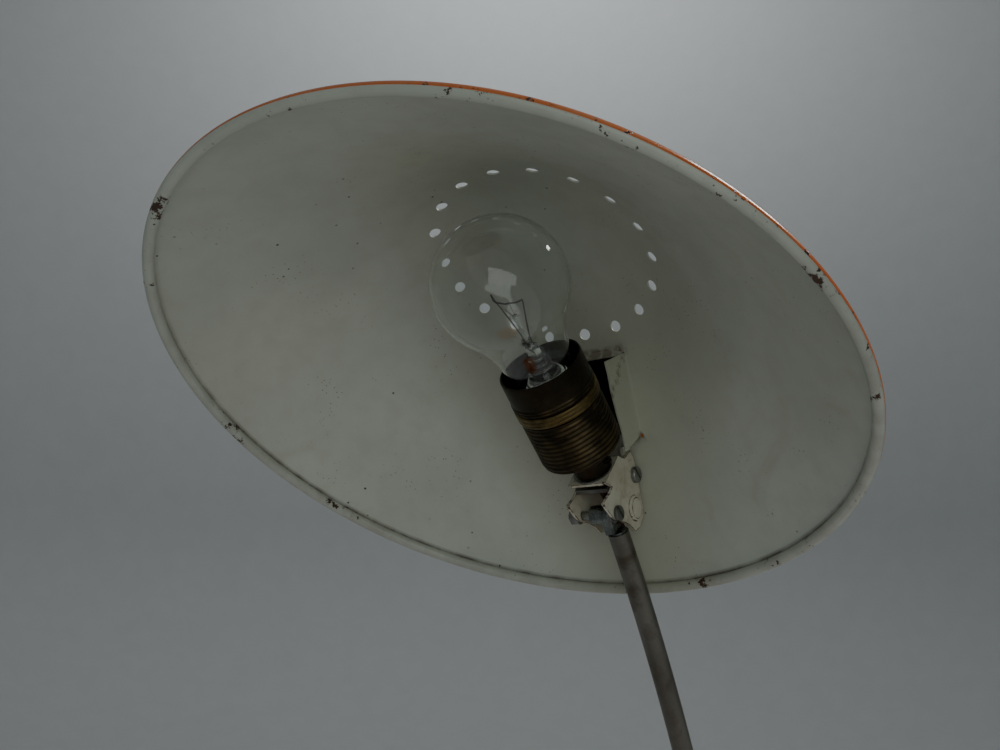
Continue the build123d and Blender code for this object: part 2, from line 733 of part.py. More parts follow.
def base_body():
    """The cast base: a low dome with a pocket underneath for the switch and the wiring."""
    outline = [
        Line((CAVITY_RADIUS, PLATE_TOP), (CAVITY_RADIUS, CAVITY_TOP - 2)),
        Line((CAVITY_RADIUS, CAVITY_TOP - 2), (CAVITY_RADIUS - 4, CAVITY_TOP)),
        Line((CAVITY_RADIUS - 4, CAVITY_TOP), (0, CAVITY_TOP)),
        Line((0, CAVITY_TOP), (0, BASE_TOP)),
        Line((0, BASE_TOP), (BASE_RADIUS - 31, BASE_TOP)),
        ThreePointArc(
            (BASE_RADIUS - 31, BASE_TOP),
            (BASE_RADIUS - 15, BASE_TOP - 1.4),
            (BASE_RADIUS - 4.5, BASE_TOP - 6.5),
        ),
        ThreePointArc(
            (BASE_RADIUS - 4.5, BASE_TOP - 6.5),
            (BASE_RADIUS - 1, BASE_TOP - 10),
            (BASE_RADIUS, BASE_TOP - 14),
        ),
        Line((BASE_RADIUS, BASE_TOP - 14), (BASE_RADIUS, FELT + 1)),
        Line((BASE_RADIUS, FELT + 1), (BASE_RADIUS - 1, FELT)),
        Line((BASE_RADIUS - 1, FELT), (PLATE_RADIUS + LIP_CLEARANCE, FELT)),
        Line((PLATE_RADIUS + LIP_CLEARANCE, FELT), (PLATE_RADIUS + LIP_CLEARANCE, PLATE_TOP)),
        Line((PLATE_RADIUS + LIP_CLEARANCE, PLATE_TOP), (CAVITY_RADIUS, PLATE_TOP)),
    ]
    body = revolve(Plane.XZ * make_face(outline), Axis.Z)
    body -= Pos(STEM_BACK, 0, 0) * rod(STEM_RADIUS, 0, BASE_TOP + 1)
    body -= Pos(SWITCH_AT, 0, 0) * rod(SWITCH_NECK_RADIUS, 0, BASE_TOP + 1)
    body -= INLET * rod(6.0, CAVITY_RADIUS - 10, BASE_RADIUS + 5)
    body -= [place * rod(1.5, 0, 12.0) for place in plate_screw_places()]
    return body


def base_plate():
    """The steel plate that closes the pocket."""
    plate = rod(PLATE_RADIUS, FELT, PLATE_TOP)
    sink = turned((0, FELT), (3.0, FELT), (1.5, PLATE_TOP), (0, PLATE_TOP))
    return plate - [place * sink for place in plate_screw_places()]


def base_plate_screws():
    """The three countersunk screws of the bottom plate."""
    screw = turned((0, FELT), (3.0, FELT), (1.5, PLATE_TOP), (1.5, 11.5), (0, 11.5))
    slot = Pos(0, 0, FELT) * Box(8, 0.8, 1.2)
    return [place * (screw - slot) for place in plate_screw_places()]


def felt_pad():
    """The felt disc that the lamp stands on."""
    return rod(BASE_RADIUS - 2.0, 0, FELT)


def cord_grommet():
    """The rubber grommet where the mains cord goes into the base."""
    sleeve = pipe(6.0, CORD_RADIUS, CAVITY_RADIUS - 1.0, BASE_RADIUS)
    flange = fillet(rod(9.0, BASE_RADIUS, BASE_RADIUS + 2.5).edges().sort_by(Axis.Z)[-1], 1.2)
    return INLET * (sleeve + (flange - rod(CORD_RADIUS, 0, BASE_RADIUS + 9)))


ANCHOR_AT = 62.0


def cord_anchor():
    """The plastic block inside that keeps the cord from being pulled out."""
    high = CAVITY_TOP - INLET_HEIGHT
    low = 5.0 - INLET_HEIGHT
    block = Pos(-(high + low) / 2, 0, ANCHOR_AT) * Box(high - low, 26.0, 8.0)
    block -= rod(CORD_RADIUS, ANCHOR_AT - 9, ANCHOR_AT + 9)
    drills = [Pos(0, side, ANCHOR_AT) * Rot(0, 90, 0) * Cylinder(1.5, 40) for side in (-8.5, 8.5)]
    return INLET * (block - drills)


def cord_anchor_screws():
    """The two screws of the cord anchor."""
    high = CAVITY_TOP - INLET_HEIGHT
    low = 5.0 - INLET_HEIGHT
    screw = Rot(0, 90, 0) * slotted_screw(1.5, high - low - 0.5, 2.8, 1.2)
    return [INLET * Pos(-low, side, ANCHOR_AT) * screw for side in (-8.5, 8.5)]


def terminal_block():
    """The block where the mains, the switch wires and the lead meet."""
    length, width, height = BLOCK_SIZE
    block = Pos(BLOCK_BACK + length / 2, 0, CAVITY_TOP - height / 2) * Box(length, width, height)
    return block - [place * rod(1.9, 0, 14) for place in terminal_places()]


def terminal_places():
    """Where the terminal block's four screws are."""
    length, width = BLOCK_SIZE[0], BLOCK_SIZE[1]
    return [
        Pos(BLOCK_BACK + length * along, width * side, 0) for along in (0.25, 0.75) for side in (-0.25, 0.25)
    ]


def terminal_screws():
    """The four screws of the terminal block."""
    low = CAVITY_TOP - BLOCK_SIZE[2]
    screw = rod(1.8, low + 0.8, low + 5.0) - Pos(0, 0, low + 0.8) * Box(4, 0.6, 1.2)
    return [place * screw for place in terminal_places()]


def base_wires():
    """The two wires from the terminal block to the switch."""
    start = BLOCK_BACK + BLOCK_SIZE[0]
    end = SWITCH_AT - sqrt(SWITCH_BODY_RADIUS**2 - (4.5 - WIRE_RADIUS) ** 2)
    wires = []
    for side in (-1, 1):
        points = [
            (start, 4.5 * side, 11.0),
            (start + 15, 4.5 * side, 11.0),
            (start + 32, 11.0 * side, 9.5),
            (start + 44, 9.0 * side, 9.5),
            (end, 4.5 * side, 11.0),
        ]
        wires.append(cable(points, WIRE_RADIUS, gentle_bends(points)))
    return wires


def switch_body():
    """The push switch: a drum under the base's top wall and a threaded neck through it."""
    drum = rod(SWITCH_BODY_RADIUS, 6.0, CAVITY_TOP) + rod(SWITCH_NECK_RADIUS, CAVITY_TOP, BASE_TOP + 2.2)
    drum -= rod(SWITCH_BORE, SPRING_LOW, BASE_TOP)
    drum -= rod(BUTTON_RADIUS + BUTTON_GAP, BASE_TOP - 1, BASE_TOP + 5)
    return Pos(SWITCH_AT, 0, 0) * drum


def switch_bezel():
    """The knurled ring nut on the switch's neck."""
    ring = turned(
        (SWITCH_NECK_RADIUS, BASE_TOP),
        (11.5, BASE_TOP),
        (11.5, BASE_TOP + 1.6),
        (10.4, BASE_TOP + 2.8),
        (SWITCH_NECK_RADIUS, BASE_TOP + 2.8),
    )
    notches = [Rot(0, 0, turn * 15) * Pos(11.7, 0, BASE_TOP) * Cylinder(0.45, 8) for turn in range(24)]
    return Pos(SWITCH_AT, 0, 0) * (ring - notches)


def switch_button():
    """The push button, held in by its shoulder."""
    top = fillet(rod(BUTTON_RADIUS, BASE_TOP - 1, BUTTON_HIGH).edges().sort_by(Axis.Z)[-1], 2.0)
    return Pos(SWITCH_AT, 0, 0) * (top + rod(BUTTON_SHOULDER, BUTTON_LOW, BASE_TOP - BUTTON_GAP / 2))


def switch_spring():
    """The coil spring under the button."""
    turns = 3.5
    wire = 0.35
    height = BUTTON_LOW - SPRING_LOW - 2 * wire
    coil = Helix(height / turns, height, 4.8)
    start = Plane(origin=coil @ 0, z_dir=coil % 0)
    return Pos(SWITCH_AT, 0, SPRING_LOW + wire) * sweep(start * Circle(wire), path=coil)


def put(name, place, shapes):
    """Write one node: its solid, or its several identical solids as a group, in the row frame."""
    several = shapes if isinstance(shapes, list) else [shapes]
    solids = []
    for shape in several:
        solids += (place * shape).solids()
    result = solids[0] if len(solids) == 1 else Compound(children=solids)
    export_step(result, f"parts/{name}.step")


ROW = Location()
NODES = {
    "shade": (HEAD, shade),
    "slot_hood": (HEAD, slot_hood),
    "lamp_bracket": (BRACKET, bracket),
    "bracket_tie": (BRACKET, bracket_tie),
    "shade_screws": (BRACKET, shade_screws),
    "shade_nuts": (BRACKET, shade_nuts),
    "hinge_screw": (BRACKET, hinge_screw),
    "hinge_nut": (BRACKET, hinge_nut),
    "hinge_washers": (BRACKET, hinge_washers),
    "holder_nipple": (HOLDER, holder_nipple),
    "holder_locknut": (HOLDER, holder_locknut),
    "holder_washer": (HOLDER, holder_washer),
    "holder_cap": (HOLDER, holder_cap),
    "holder_lock_screw": (HOLDER, holder_lock_screw),
    "holder_shell": (HOLDER, holder_shell),
    "holder_ring": (HOLDER, holder_ring),
    "holder_skirt": (HOLDER, holder_skirt),
    "holder_insert": (HOLDER, holder_insert),
    "holder_terminals": (HOLDER, holder_terminals),
    "socket_shell": (HOLDER, socket_shell),
    "centre_contact": (HOLDER, centre_contact),
    "bulb_glass": (HOLDER, bulb_glass),
    "bulb_cap": (HOLDER, bulb_cap),
    "bulb_insulator": (HOLDER, bulb_insulator),
    "bulb_contact": (HOLDER, bulb_contact),
    "bulb_stem": (FILAMENT, bulb_stem),
    "bulb_leads": (FILAMENT, bulb_leads),
    "filament_supports": (FILAMENT, filament_supports),
    "bulb_filament": (FILAMENT, bulb_filament),
    "stem": (ROW, stem),
    "stem_eye": (STEM_END, stem_eye),
    "stem_lead": (ROW, stem_lead),
    "head_lead": (ROW, head_lead),
    "stem_collar": (ROW, stem_collar),
    "stem_washer": (ROW, stem_washer),
    "stem_locknut": (ROW, stem_locknut),
    "base_body": (ROW, base_body),
    "base_plate": (ROW, base_plate),
    "base_plate_screws": (ROW, base_plate_screws),
    "felt_pad": (ROW, felt_pad),
    "cord_grommet": (ROW, cord_grommet),
    "cord_anchor": (ROW, cord_anchor),
    "cord_anchor_screws": (ROW, cord_anchor_screws),
    "terminal_block": (ROW, terminal_block),
    "terminal_screws": (ROW, terminal_screws),
    "base_wires": (ROW, base_wires),
    "switch_body": (ROW, switch_body),
    "switch_bezel": (ROW, switch_bezel),
    "switch_button": (ROW, switch_button),
    "switch_spring": (ROW, switch_spring),
}

os.makedirs("parts", exist_ok=True)
for node, (place, make) in NODES.items():
    put(node, place, make())
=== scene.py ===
import json
from math import atan2, cos, degrees, hypot, pi, radians, sin, sqrt

import bmesh
import bpy
from mathutils import Matrix, Vector
from mathutils.kdtree import KDTree


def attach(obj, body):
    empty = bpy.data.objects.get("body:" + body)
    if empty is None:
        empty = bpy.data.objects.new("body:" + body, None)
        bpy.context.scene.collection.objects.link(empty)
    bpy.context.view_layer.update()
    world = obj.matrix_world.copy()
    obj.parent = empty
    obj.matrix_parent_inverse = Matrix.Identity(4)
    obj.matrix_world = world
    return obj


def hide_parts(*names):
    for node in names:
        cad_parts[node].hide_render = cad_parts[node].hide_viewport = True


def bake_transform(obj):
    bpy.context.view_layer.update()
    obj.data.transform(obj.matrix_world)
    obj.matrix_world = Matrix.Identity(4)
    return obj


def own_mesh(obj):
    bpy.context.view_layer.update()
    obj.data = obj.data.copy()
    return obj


# Examination lamp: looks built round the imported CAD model. Local drawing units are millimetres, and each
# local frame's matrix takes them to the row frame's metres.

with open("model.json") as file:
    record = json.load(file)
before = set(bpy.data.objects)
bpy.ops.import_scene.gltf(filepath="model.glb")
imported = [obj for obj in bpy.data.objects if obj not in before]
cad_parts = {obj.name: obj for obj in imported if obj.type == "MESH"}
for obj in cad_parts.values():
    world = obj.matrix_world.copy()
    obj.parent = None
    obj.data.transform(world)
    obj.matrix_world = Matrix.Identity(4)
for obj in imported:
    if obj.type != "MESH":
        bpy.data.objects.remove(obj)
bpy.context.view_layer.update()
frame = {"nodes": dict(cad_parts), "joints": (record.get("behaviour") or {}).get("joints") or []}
nodes = frame["nodes"]

MM = 0.001
HEAD_TILT = 27.5
HOLDER_ANGLE = 13.0
HOLDER_OFFSET = 12.0
PIN_IN_HEAD = Vector((-95.0, 0.0, 8.0))
RIM_RADIUS = 149.0
SHEET = 0.8
BEAD_RADIUS = 2.4
BEAD_RING_RADIUS = 147.3
WALL_ANGLE = radians(40.2)
CROWN_RADIUS = 93.0
CROWN_EDGE = CROWN_RADIUS * sin(WALL_ANGLE)
CROWN_CENTRE = (RIM_RADIUS - CROWN_EDGE) * sin(WALL_ANGLE) / cos(WALL_ANGLE) - CROWN_RADIUS * cos(WALL_ANGLE)
VENT_COUNT = 18
VENT_RADIUS = 2.7
VENT_RING_RADIUS = 50.6
VENT_TURN = radians(4.0)
SLOT = (-90.0, -58.8)
SLOT_HALF_WIDTH = 15.5
FLAP_HEIGHTS = (18.6, 22.5)
FLAP_REAR_REACH = 3.5
LIP_HALF_WIDTH = 14.2

pin = Vector(next(j for j in frame["joints"] if j["name"] == "head_tilt")["pos_m"])
TILT = Matrix.Rotation(-radians(HEAD_TILT), 4, "Y")
HEAD = Matrix.Translation(pin) @ TILT @ Matrix.Scale(MM, 4) @ Matrix.Translation(-PIN_IN_HEAD)
BRACKET = Matrix.Translation(pin) @ Matrix.Rotation(
    -radians(HEAD_TILT + HOLDER_ANGLE), 4, "Y"
) @ Matrix.Scale(MM, 4)
HOLDER = BRACKET @ Matrix.Translation((0, 0, HOLDER_OFFSET)) @ Matrix.Rotation(radians(90), 4, "Y")
RIM_CENTRE = HEAD @ Vector((0, 0, 0))
SHADE_SCREW_BACK = 101.3


# ---------------------------------------------------------------- materials
class Shader:
    """A material whose colour, roughness and bump come from nodes; constants sit on the shader's sockets."""

    def __init__(self, name, **sockets):
        self.material = bpy.data.materials.new(name)
        self.material.use_nodes = True
        self.tree = self.material.node_tree
        self.surface = self.tree.nodes["Principled BSDF"]
        place = self.tree.nodes.new("ShaderNodeTexCoord")
        self.place = place.outputs["Object"]
        self.set(**sockets)

    def set(self, **sockets):
        for key, value in sockets.items():
            socket = self.surface.inputs[key.replace("_", " ")]
            if isinstance(value, bpy.types.NodeSocket):
                self.tree.links.new(value, socket)
            else:
                socket.default_value = value

    def add(self, kind, settings=None, **inputs):
        node = self.tree.nodes.new(kind)
        for key, value in (settings or {}).items():
            setattr(node, key, value)
        for key, value in inputs.items():
            socket = node.inputs[int(key[1:])] if key[1:].isdigit() else node.inputs[key.replace("_", " ")]
            if isinstance(value, bpy.types.NodeSocket):
                self.tree.links.new(value, socket)
            else:
                socket.default_value = value
        return node

    def stretched(self, scale):
        """Object coordinates scaled along each axis."""
        return self.add("ShaderNodeMapping", Vector=self.place, Scale=scale).outputs[0]

    def noise(self, scale, detail=4.0, roughness=0.55, distortion=0.0, at=None):
        node = self.add(
            "ShaderNodeTexNoise",
            Vector=at or self.place,
            Scale=scale,
            Detail=detail,
            Roughness=roughness,
            Distortion=distortion,
        )
        return node.outputs[0]

    def cells(self, scale, feature="F1", at=None, output=0):
        node = self.add("ShaderNodeTexVoronoi", {"feature": feature}, Vector=at or self.place, Scale=scale)
        return node.outputs[output]

    def span(self, value, low, high, to_low=0.0, to_high=1.0):
        """A value taken from one range to another, clamped."""
        node = self.add("ShaderNodeMapRange", v0=value, v1=low, v2=high, v3=to_low, v4=to_high)
        node.clamp = True
        return node.outputs[0]

    def math(self, operation, a, b=0.0):
        return self.add("ShaderNodeMath", {"operation": operation}, v0=a, v1=b).outputs[0]

    def mix(self, factor, a, b):
        """Between two colours."""
        node = self.add("ShaderNodeMix", {"data_type": "RGBA"})
        for index, value in ((0, factor), (6, a), (7, b)):
            if isinstance(value, bpy.types.NodeSocket):
                self.tree.links.new(value, node.inputs[index])
            elif index:
                node.inputs[index].default_value = (*value, 1.0)
            else:
                node.inputs[index].default_value = value
        return node.outputs[2]

    def mask(self, name):
        """A per-vertex value stored on the mesh."""
        return self.add("ShaderNodeAttribute", {"attribute_name": name}).outputs["Fac"]

    def bump(self, height, strength, distance, below=None):
        inputs = {"Height": height, "Strength": strength, "Distance": distance}
        if below is not None:
            inputs["Normal"] = below
        return self.add("ShaderNodeBump", **inputs).outputs[0]


def worn_enamel():
    """Off-white enamel inside the bowl: mottled, specked, yellowed near the bulb, chipped at the rim, with a
    dark line of painted shade and dirt in the corner at the bead.
    """
    s = Shader("worn_white_enamel", Coat_Weight=0.25, Coat_Roughness=0.22)
    rim = s.mask("rim")
    warm = s.mask("warm")
    low = s.mask("low")
    slot_edge = s.mask("slot_edge")
    broad = s.noise(11.0, detail=5.0)
    fine = s.noise(95.0, detail=6.0)
    colour = s.mix(s.span(broad, 0.35, 0.68), (0.560, 0.600, 0.530), (0.665, 0.700, 0.625))
    colour = s.mix(s.span(fine, 0.45, 0.75, 0.0, 0.35), colour, (0.52, 0.53, 0.47))
    heat = s.math("MULTIPLY", warm, s.span(broad, 0.3, 0.6, 0.5, 1.0))
    colour = s.mix(s.math("MULTIPLY", heat, 0.9), colour, (0.47, 0.44, 0.29))
    rivulets = s.noise(24.0, detail=7.0, distortion=1.2)
    stains = s.math("MULTIPLY", s.span(rivulets, 0.56, 0.72), low)
    colour = s.mix(s.math("MULTIPLY", stains, 0.35), colour, (0.46, 0.40, 0.28))
    # Painted shade and dirt: a dark line in the corner where the wall meets the bead, stronger lower down,
    # stands for the bead's shadow in that crease as well as grime.
    groove = s.math("MULTIPLY", s.span(rim, 4.6, 2.7), s.span(rim, 2.35, 2.55))
    groove_dirt_and_shade = s.math("MULTIPLY", groove, s.span(low, 0.1, 0.6, 0.15, 1.0))
    colour = s.mix(s.math("MULTIPLY", groove_dirt_and_shade, s.span(fine, 0.35, 0.6, 0.45, 0.95)), colour, (0.12, 0.10, 0.075))
    specks = s.span(s.cells(430.0), 0.16, 0.10)
    patchy = s.span(s.noise(37.0, detail=3.0), 0.52, 0.66)
    specks = s.math("MULTIPLY", specks, patchy)
    colour = s.mix(s.math("MULTIPLY", specks, 0.7), colour, (0.10, 0.075, 0.05))
    flecks = s.math("MULTIPLY", s.span(s.cells(120.0), 0.085, 0.05), s.span(s.noise(19.0), 0.5, 0.6))
    colour = s.mix(flecks, colour, (0.045, 0.035, 0.03))
    streaky = s.noise(230.0, detail=5.0, roughness=0.7)
    clumps = s.noise(33.0, detail=2.0)
    edge = s.math("ADD", s.span(rim, 3.6, 2.4, 0.0, 0.10), s.span(clumps, 0.46, 0.70, 0.0, 0.25))
    chips = s.math("MULTIPLY", s.span(s.math("ADD", streaky, edge), 0.80, 0.83), s.span(rim, 4.5, 3.4))
    chip_colour = s.mix(s.noise(400.0), (0.02, 0.017, 0.015), (0.12, 0.05, 0.022))
    colour = s.mix(chips, colour, chip_colour)
    rust = s.math("MULTIPLY", slot_edge, s.span(s.noise(210.0, detail=6.0), 0.40, 0.55))
    colour = s.mix(rust, colour, (0.115, 0.052, 0.022))
    peel = s.noise(1500.0, detail=2.0)
    height = s.math("ADD", s.math("MULTIPLY", peel, 0.3), s.math("MULTIPLY", broad, 0.6))
    height = s.math("SUBTRACT", height, chips)
    worn = s.math("MAXIMUM", chips, rust)
    rough = s.math("ADD", s.span(fine, 0.3, 0.8, 0.33, 0.52), s.math("MULTIPLY", worn, 0.35))
    s.set(Base_Color=colour, Roughness=rough, Normal=s.bump(height, 0.35, 0.0006))
    return s.material


def orange_enamel():
    """Gloss orange enamel outside: faint fading, fine scratches, chips down to dark steel at edges."""
    s = Shader("orange_enamel", Coat_Weight=0.5, Coat_Roughness=0.12)
    broad = s.noise(9.0, detail=5.0)
    colour = s.mix(s.span(broad, 0.3, 0.7), (0.68, 0.155, 0.030), (0.80, 0.225, 0.050))
    dusty = s.span(s.noise(60.0, detail=7.0), 0.48, 0.75, 0.0, 0.30)
    colour = s.mix(dusty, colour, (0.70, 0.33, 0.16))
    scratches = s.noise(150.0, detail=3.0, at=s.stretched((1.0, 9.0, 0.6)))
    scratches = s.span(scratches, 0.70, 0.74, 0.0, 0.5)
    colour = s.mix(scratches, colour, (0.86, 0.50, 0.34))
    chips = s.math(
        "MULTIPLY", s.span(s.noise(260.0, detail=5.0, roughness=0.7), 0.60, 0.64),
        s.span(s.mask("rim"), 4.5, 2.5)
    )
    colour = s.mix(chips, colour, (0.035, 0.025, 0.02))
    height = s.math("SUBTRACT", s.math("MULTIPLY", s.noise(1100.0, detail=2.0), 0.35), chips)
    rough = s.math("ADD", s.span(broad, 0.3, 0.8, 0.22, 0.36), s.math("MULTIPLY", scratches, 0.25))
    s.set(Base_Color=colour, Roughness=rough, Normal=s.bump(height, 0.3, 0.0005))
    return s.material


def cream_paint():
    """Hand-worn cream paint on the bracket: patches of grime, bare dark steel along its edges."""
    s = Shader("cream_paint", Coat_Weight=0.15, Coat_Roughness=0.3)
    broad = s.noise(60.0, detail=5.0)
    fine = s.noise(420.0, detail=6.0)
    colour = s.mix(s.span(broad, 0.35, 0.65), (0.56, 0.525, 0.40), (0.70, 0.675, 0.565))
    grime = s.span(s.noise(150.0, detail=7.0, distortion=0.8), 0.52, 0.74, 0.0, 0.55)
    colour = s.mix(grime, colour, (0.33, 0.25, 0.14))
    wear = s.span(s.math("ADD", s.mask("edge"), s.math("MULTIPLY", fine, 1.2)), 1.35, 1.5)
    colour = s.mix(wear, colour, (0.10, 0.065, 0.04))
    height = s.math("SUBTRACT", s.math("MULTIPLY", fine, 0.6), wear)
    rough = s.math("ADD", s.span(fine, 0.3, 0.7, 0.38, 0.58), s.math("MULTIPLY", wear, 0.2))
    s.set(Base_Color=colour, Roughness=rough, Normal=s.bump(height, 0.5, 0.0003))
    return s.material


def aged_metal(
    name, dark, light, rough=(0.3, 0.5), scale=120.0, brushed=None, worn=None, tarnish=None, metal=1.0
):
    """A metal whose tone wanders between dark and light, with fine bump, and rubbed or tarnished patches."""
    s = Shader(name, Metallic=metal)
    at = s.stretched(brushed) if brushed else None
    broad = s.noise(scale * 0.3, detail=4.0)
    fine = s.noise(scale * 5.0, detail=5.0, roughness=0.65, at=at)
    colour = s.mix(s.span(s.math("ADD", broad, s.math("MULTIPLY", fine, 0.4)), 0.5, 0.95), dark, light)
    if tarnish:
        patches = s.span(s.noise(scale, detail=7.0, distortion=0.6), 0.50, 0.68)
        colour = s.mix(s.math("MULTIPLY", patches, 0.8), colour, tarnish)
    if worn:
        rubbed = s.math("MULTIPLY", s.mask("crest"), s.span(s.noise(scale * 0.8, detail=6.0), 0.40, 0.66))
        colour = s.mix(rubbed, colour, worn)
    roughness = s.span(fine, 0.3, 0.75, rough[0], rough[1])
    s.set(Base_Color=colour, Roughness=roughness, Normal=s.bump(fine, 0.25, 0.0002))
    return s.material


def moulded(name, dark, light, rough=(0.35, 0.5), scale=400.0, strength=0.3, coat=0.0):
    """Plastic, rubber or glaze: two close tones and a fine grain."""
    s = Shader(name, Coat_Weight=coat)
    broad = s.noise(scale * 0.12, detail=3.0)
    grain = s.noise(scale * 2.0, detail=4.0)
    colour = s.mix(s.span(broad, 0.35, 0.65), dark, light)
    s.set(
        Base_Color=colour, Roughness=s.span(grain, 0.3, 0.7, rough[0], rough[1]),
        Normal=s.bump(grain, strength, 0.0002)
    )
    return s.material


def clear_glass(name, tint=(0.96, 0.98, 0.97, 1.0)):
    """Thin clear glass with a little waviness and faint dust."""
    s = Shader(name, Transmission_Weight=1.0, IOR=1.45, Base_Color=tint)
    wave = s.noise(38.0, detail=2.0)
    dust = s.noise(700.0, detail=4.0)
    s.set(Roughness=s.span(dust, 0.6, 0.85, 0.0, 0.06), Normal=s.bump(wave, 0.05, 0.0006))
    return s.material


def felt_cloth():
    """Pressed felt: short tangled fibres and sheen."""
    s = Shader("green_felt", Sheen_Weight=0.4, Sheen_Roughness=0.5)
    fibres = s.noise(900.0, detail=8.0, roughness=0.75, distortion=2.0)
    patches = s.noise(40.0, detail=4.0)
    colour = s.mix(s.span(fibres, 0.35, 0.65), (0.012, 0.035, 0.020), (0.045, 0.085, 0.055))
    colour = s.mix(s.span(patches, 0.45, 0.75, 0.0, 0.4), colour, (0.07, 0.09, 0.07))
    s.set(
        Base_Color=colour, Roughness=s.span(fibres, 0.3, 0.7, 0.82, 0.97),
        Normal=s.bump(fibres, 0.8, 0.0004)
    )
    return s.material


ENAMEL = worn_enamel()
ORANGE = orange_enamel()
CREAM = cream_paint()
GLASS = clear_glass("bulb_glass")
ZINC = aged_metal(
    "dull_zinc", (0.14, 0.145, 0.14), (0.36, 0.37, 0.36), (0.28, 0.48), 160.0,
    tarnish=(0.10, 0.085, 0.06)
)
DARK_ZINC = aged_metal(
    "dark_zinc", (0.10, 0.115, 0.11), (0.34, 0.37, 0.36), (0.18, 0.36), 140.0,
    tarnish=(0.05, 0.05, 0.045)
)
STEEL = aged_metal(
    "stem_nickel",
    (0.155, 0.145, 0.125),
    (0.285, 0.275, 0.245),
    (0.30, 0.50),
    70.0,
    brushed=(6.0, 6.0, 0.5),
    tarnish=(0.115, 0.095, 0.07),
)
AGED_BRASS = aged_metal(
    "aged_brass", (0.018, 0.015, 0.011), (0.060, 0.047, 0.028), (0.36, 0.56), 150.0,
    worn=(0.150, 0.110, 0.052)
)
BAND_BRASS = aged_metal(
    "band_brass", (0.13, 0.095, 0.038), (0.30, 0.225, 0.095), (0.28, 0.46), 130.0,
    tarnish=(0.060, 0.044, 0.020)
)
BRASS = aged_metal(
    "bare_brass", (0.42, 0.30, 0.12), (0.62, 0.47, 0.22), (0.22, 0.38), 130.0,
    tarnish=(0.25, 0.16, 0.07)
)
CAP_METAL = aged_metal(
    "cap_metal", (0.10, 0.085, 0.06), (0.24, 0.21, 0.16), (0.3, 0.5), 130.0, tarnish=(0.05, 0.04, 0.03)
)
SOLDER = aged_metal("solder", (0.36, 0.36, 0.35), (0.55, 0.55, 0.54), (0.3, 0.5), 300.0)
WIRE = aged_metal("nickel_wire", (0.13, 0.12, 0.11), (0.30, 0.28, 0.26), (0.3, 0.5), 300.0)
TUNGSTEN = aged_metal("tungsten", (0.05, 0.05, 0.052), (0.16, 0.16, 0.165), (0.3, 0.5), 600.0)
PLATE_STEEL = aged_metal(
    "plate_steel", (0.26, 0.27, 0.28), (0.46, 0.47, 0.48), (0.3, 0.5), 60.0, tarnish=(0.2, 0.2, 0.18)
)
GLAZE = moulded("white_glaze", (0.66, 0.65, 0.58), (0.78, 0.77, 0.71), (0.10, 0.2), 300.0, 0.1, coat=0.6)
BLACK_GLASS = moulded(
    "black_glass", (0.008, 0.008, 0.010), (0.020, 0.018, 0.022), (0.06, 0.16), 300.0, 0.1, coat=0.5
)
SHEATH = moulded("red_brown_rubber", (0.045, 0.012, 0.009), (0.095, 0.026, 0.018), (0.5, 0.7), 500.0, 0.5)
RUBBER = moulded("black_rubber", (0.012, 0.012, 0.012), (0.030, 0.029, 0.028), (0.55, 0.78), 500.0, 0.6)
BAKELITE = moulded(
    "black_bakelite", (0.010, 0.008, 0.007), (0.026, 0.020, 0.017), (0.14, 0.30), 300.0, 0.15, coat=0.4
)
NYLON = moulded("white_nylon", (0.58, 0.57, 0.52), (0.70, 0.69, 0.65), (0.38, 0.52), 300.0, 0.2)
FELT = felt_cloth()


# ---------------------------------------------------------------- mesh helpers
def piece(name, mesh, matrix, body, material, stands_for=()):
    """An object whose mesh goes from a local frame to the row frame, riding a body."""
    mesh.transform(matrix)
    obj = bpy.data.objects.new(name, mesh)
    bpy.context.scene.collection.objects.link(obj)
    for entry in material if isinstance(material, (list, tuple)) else [material]:
        mesh.materials.append(entry)
    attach(obj, body)
    if stands_for:
        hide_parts(*stands_for)
    return obj


def smooth(mesh, limit=35.0):
    """Smooth shading with creases where faces meet at more than the limit."""
    work = bmesh.new()
    work.from_mesh(mesh)
    for face in work.faces:
        face.smooth = True
    for edge in work.edges:
        sharp = len(edge.link_faces) == 2 and degrees(edge.calc_face_angle(0.0)) > limit
        edge.smooth = not sharp
    work.to_mesh(mesh)
    work.free()
    return mesh


def lathed(name, outline, steps=96):
    """A mesh turned about Z from a closed list of (radius, height) points; zero radii close at the axis."""
    verts, faces, rings = [], [], []
    for radius, height in outline:
        if radius < 1e-6:
            rings.append([len(verts)] * steps)
            verts.append((0.0, 0.0, height))
        else:
            rings.append(list(range(len(verts), len(verts) + steps)))
            for k in range(steps):
                turn = 2 * pi * k / steps
                verts.append((radius * cos(turn), radius * sin(turn), height))
    for a, b in zip(rings, rings[1:] + rings[:1]):
        for k in range(steps):
            n = (k + 1) % steps
            corners = list(dict.fromkeys((a[k], a[n], b[n], b[k])))
            if len(corners) > 2:
                faces.append(corners)
    mesh = bpy.data.meshes.new(name)
    mesh.from_pydata(verts, [], faces)
    work = bmesh.new()
    work.from_mesh(mesh)
    bmesh.ops.recalc_face_normals(work, faces=work.faces)
    work.to_mesh(mesh)
    work.free()
    return mesh


def prism(name, outline, near, far):
    """A plate with an (x, z) outline between two places on Y."""
    count = len(outline)
    verts = [(x, near, z) for x, z in outline] + [(x, far, z) for x, z in outline]
    faces = [list(range(count)), list(range(2 * count - 1, count - 1, -1))]
    for k in range(count):
        n = (k + 1) % count
        faces.append([k, n, n + count, k + count])
    mesh = bpy.data.meshes.new(name)
    mesh.from_pydata(verts, [], faces)
    work = bmesh.new()
    work.from_mesh(mesh)
    bmesh.ops.recalc_face_normals(work, faces=work.faces)
    work.to_mesh(mesh)
    work.free()
    return mesh


def joined(name, meshes):
    """Several meshes as one."""
    work = bmesh.new()
    for mesh in meshes:
        work.from_mesh(mesh)
        bpy.data.meshes.remove(mesh)
    result = bpy.data.meshes.new(name)
    work.to_mesh(result)
    work.free()
    return result


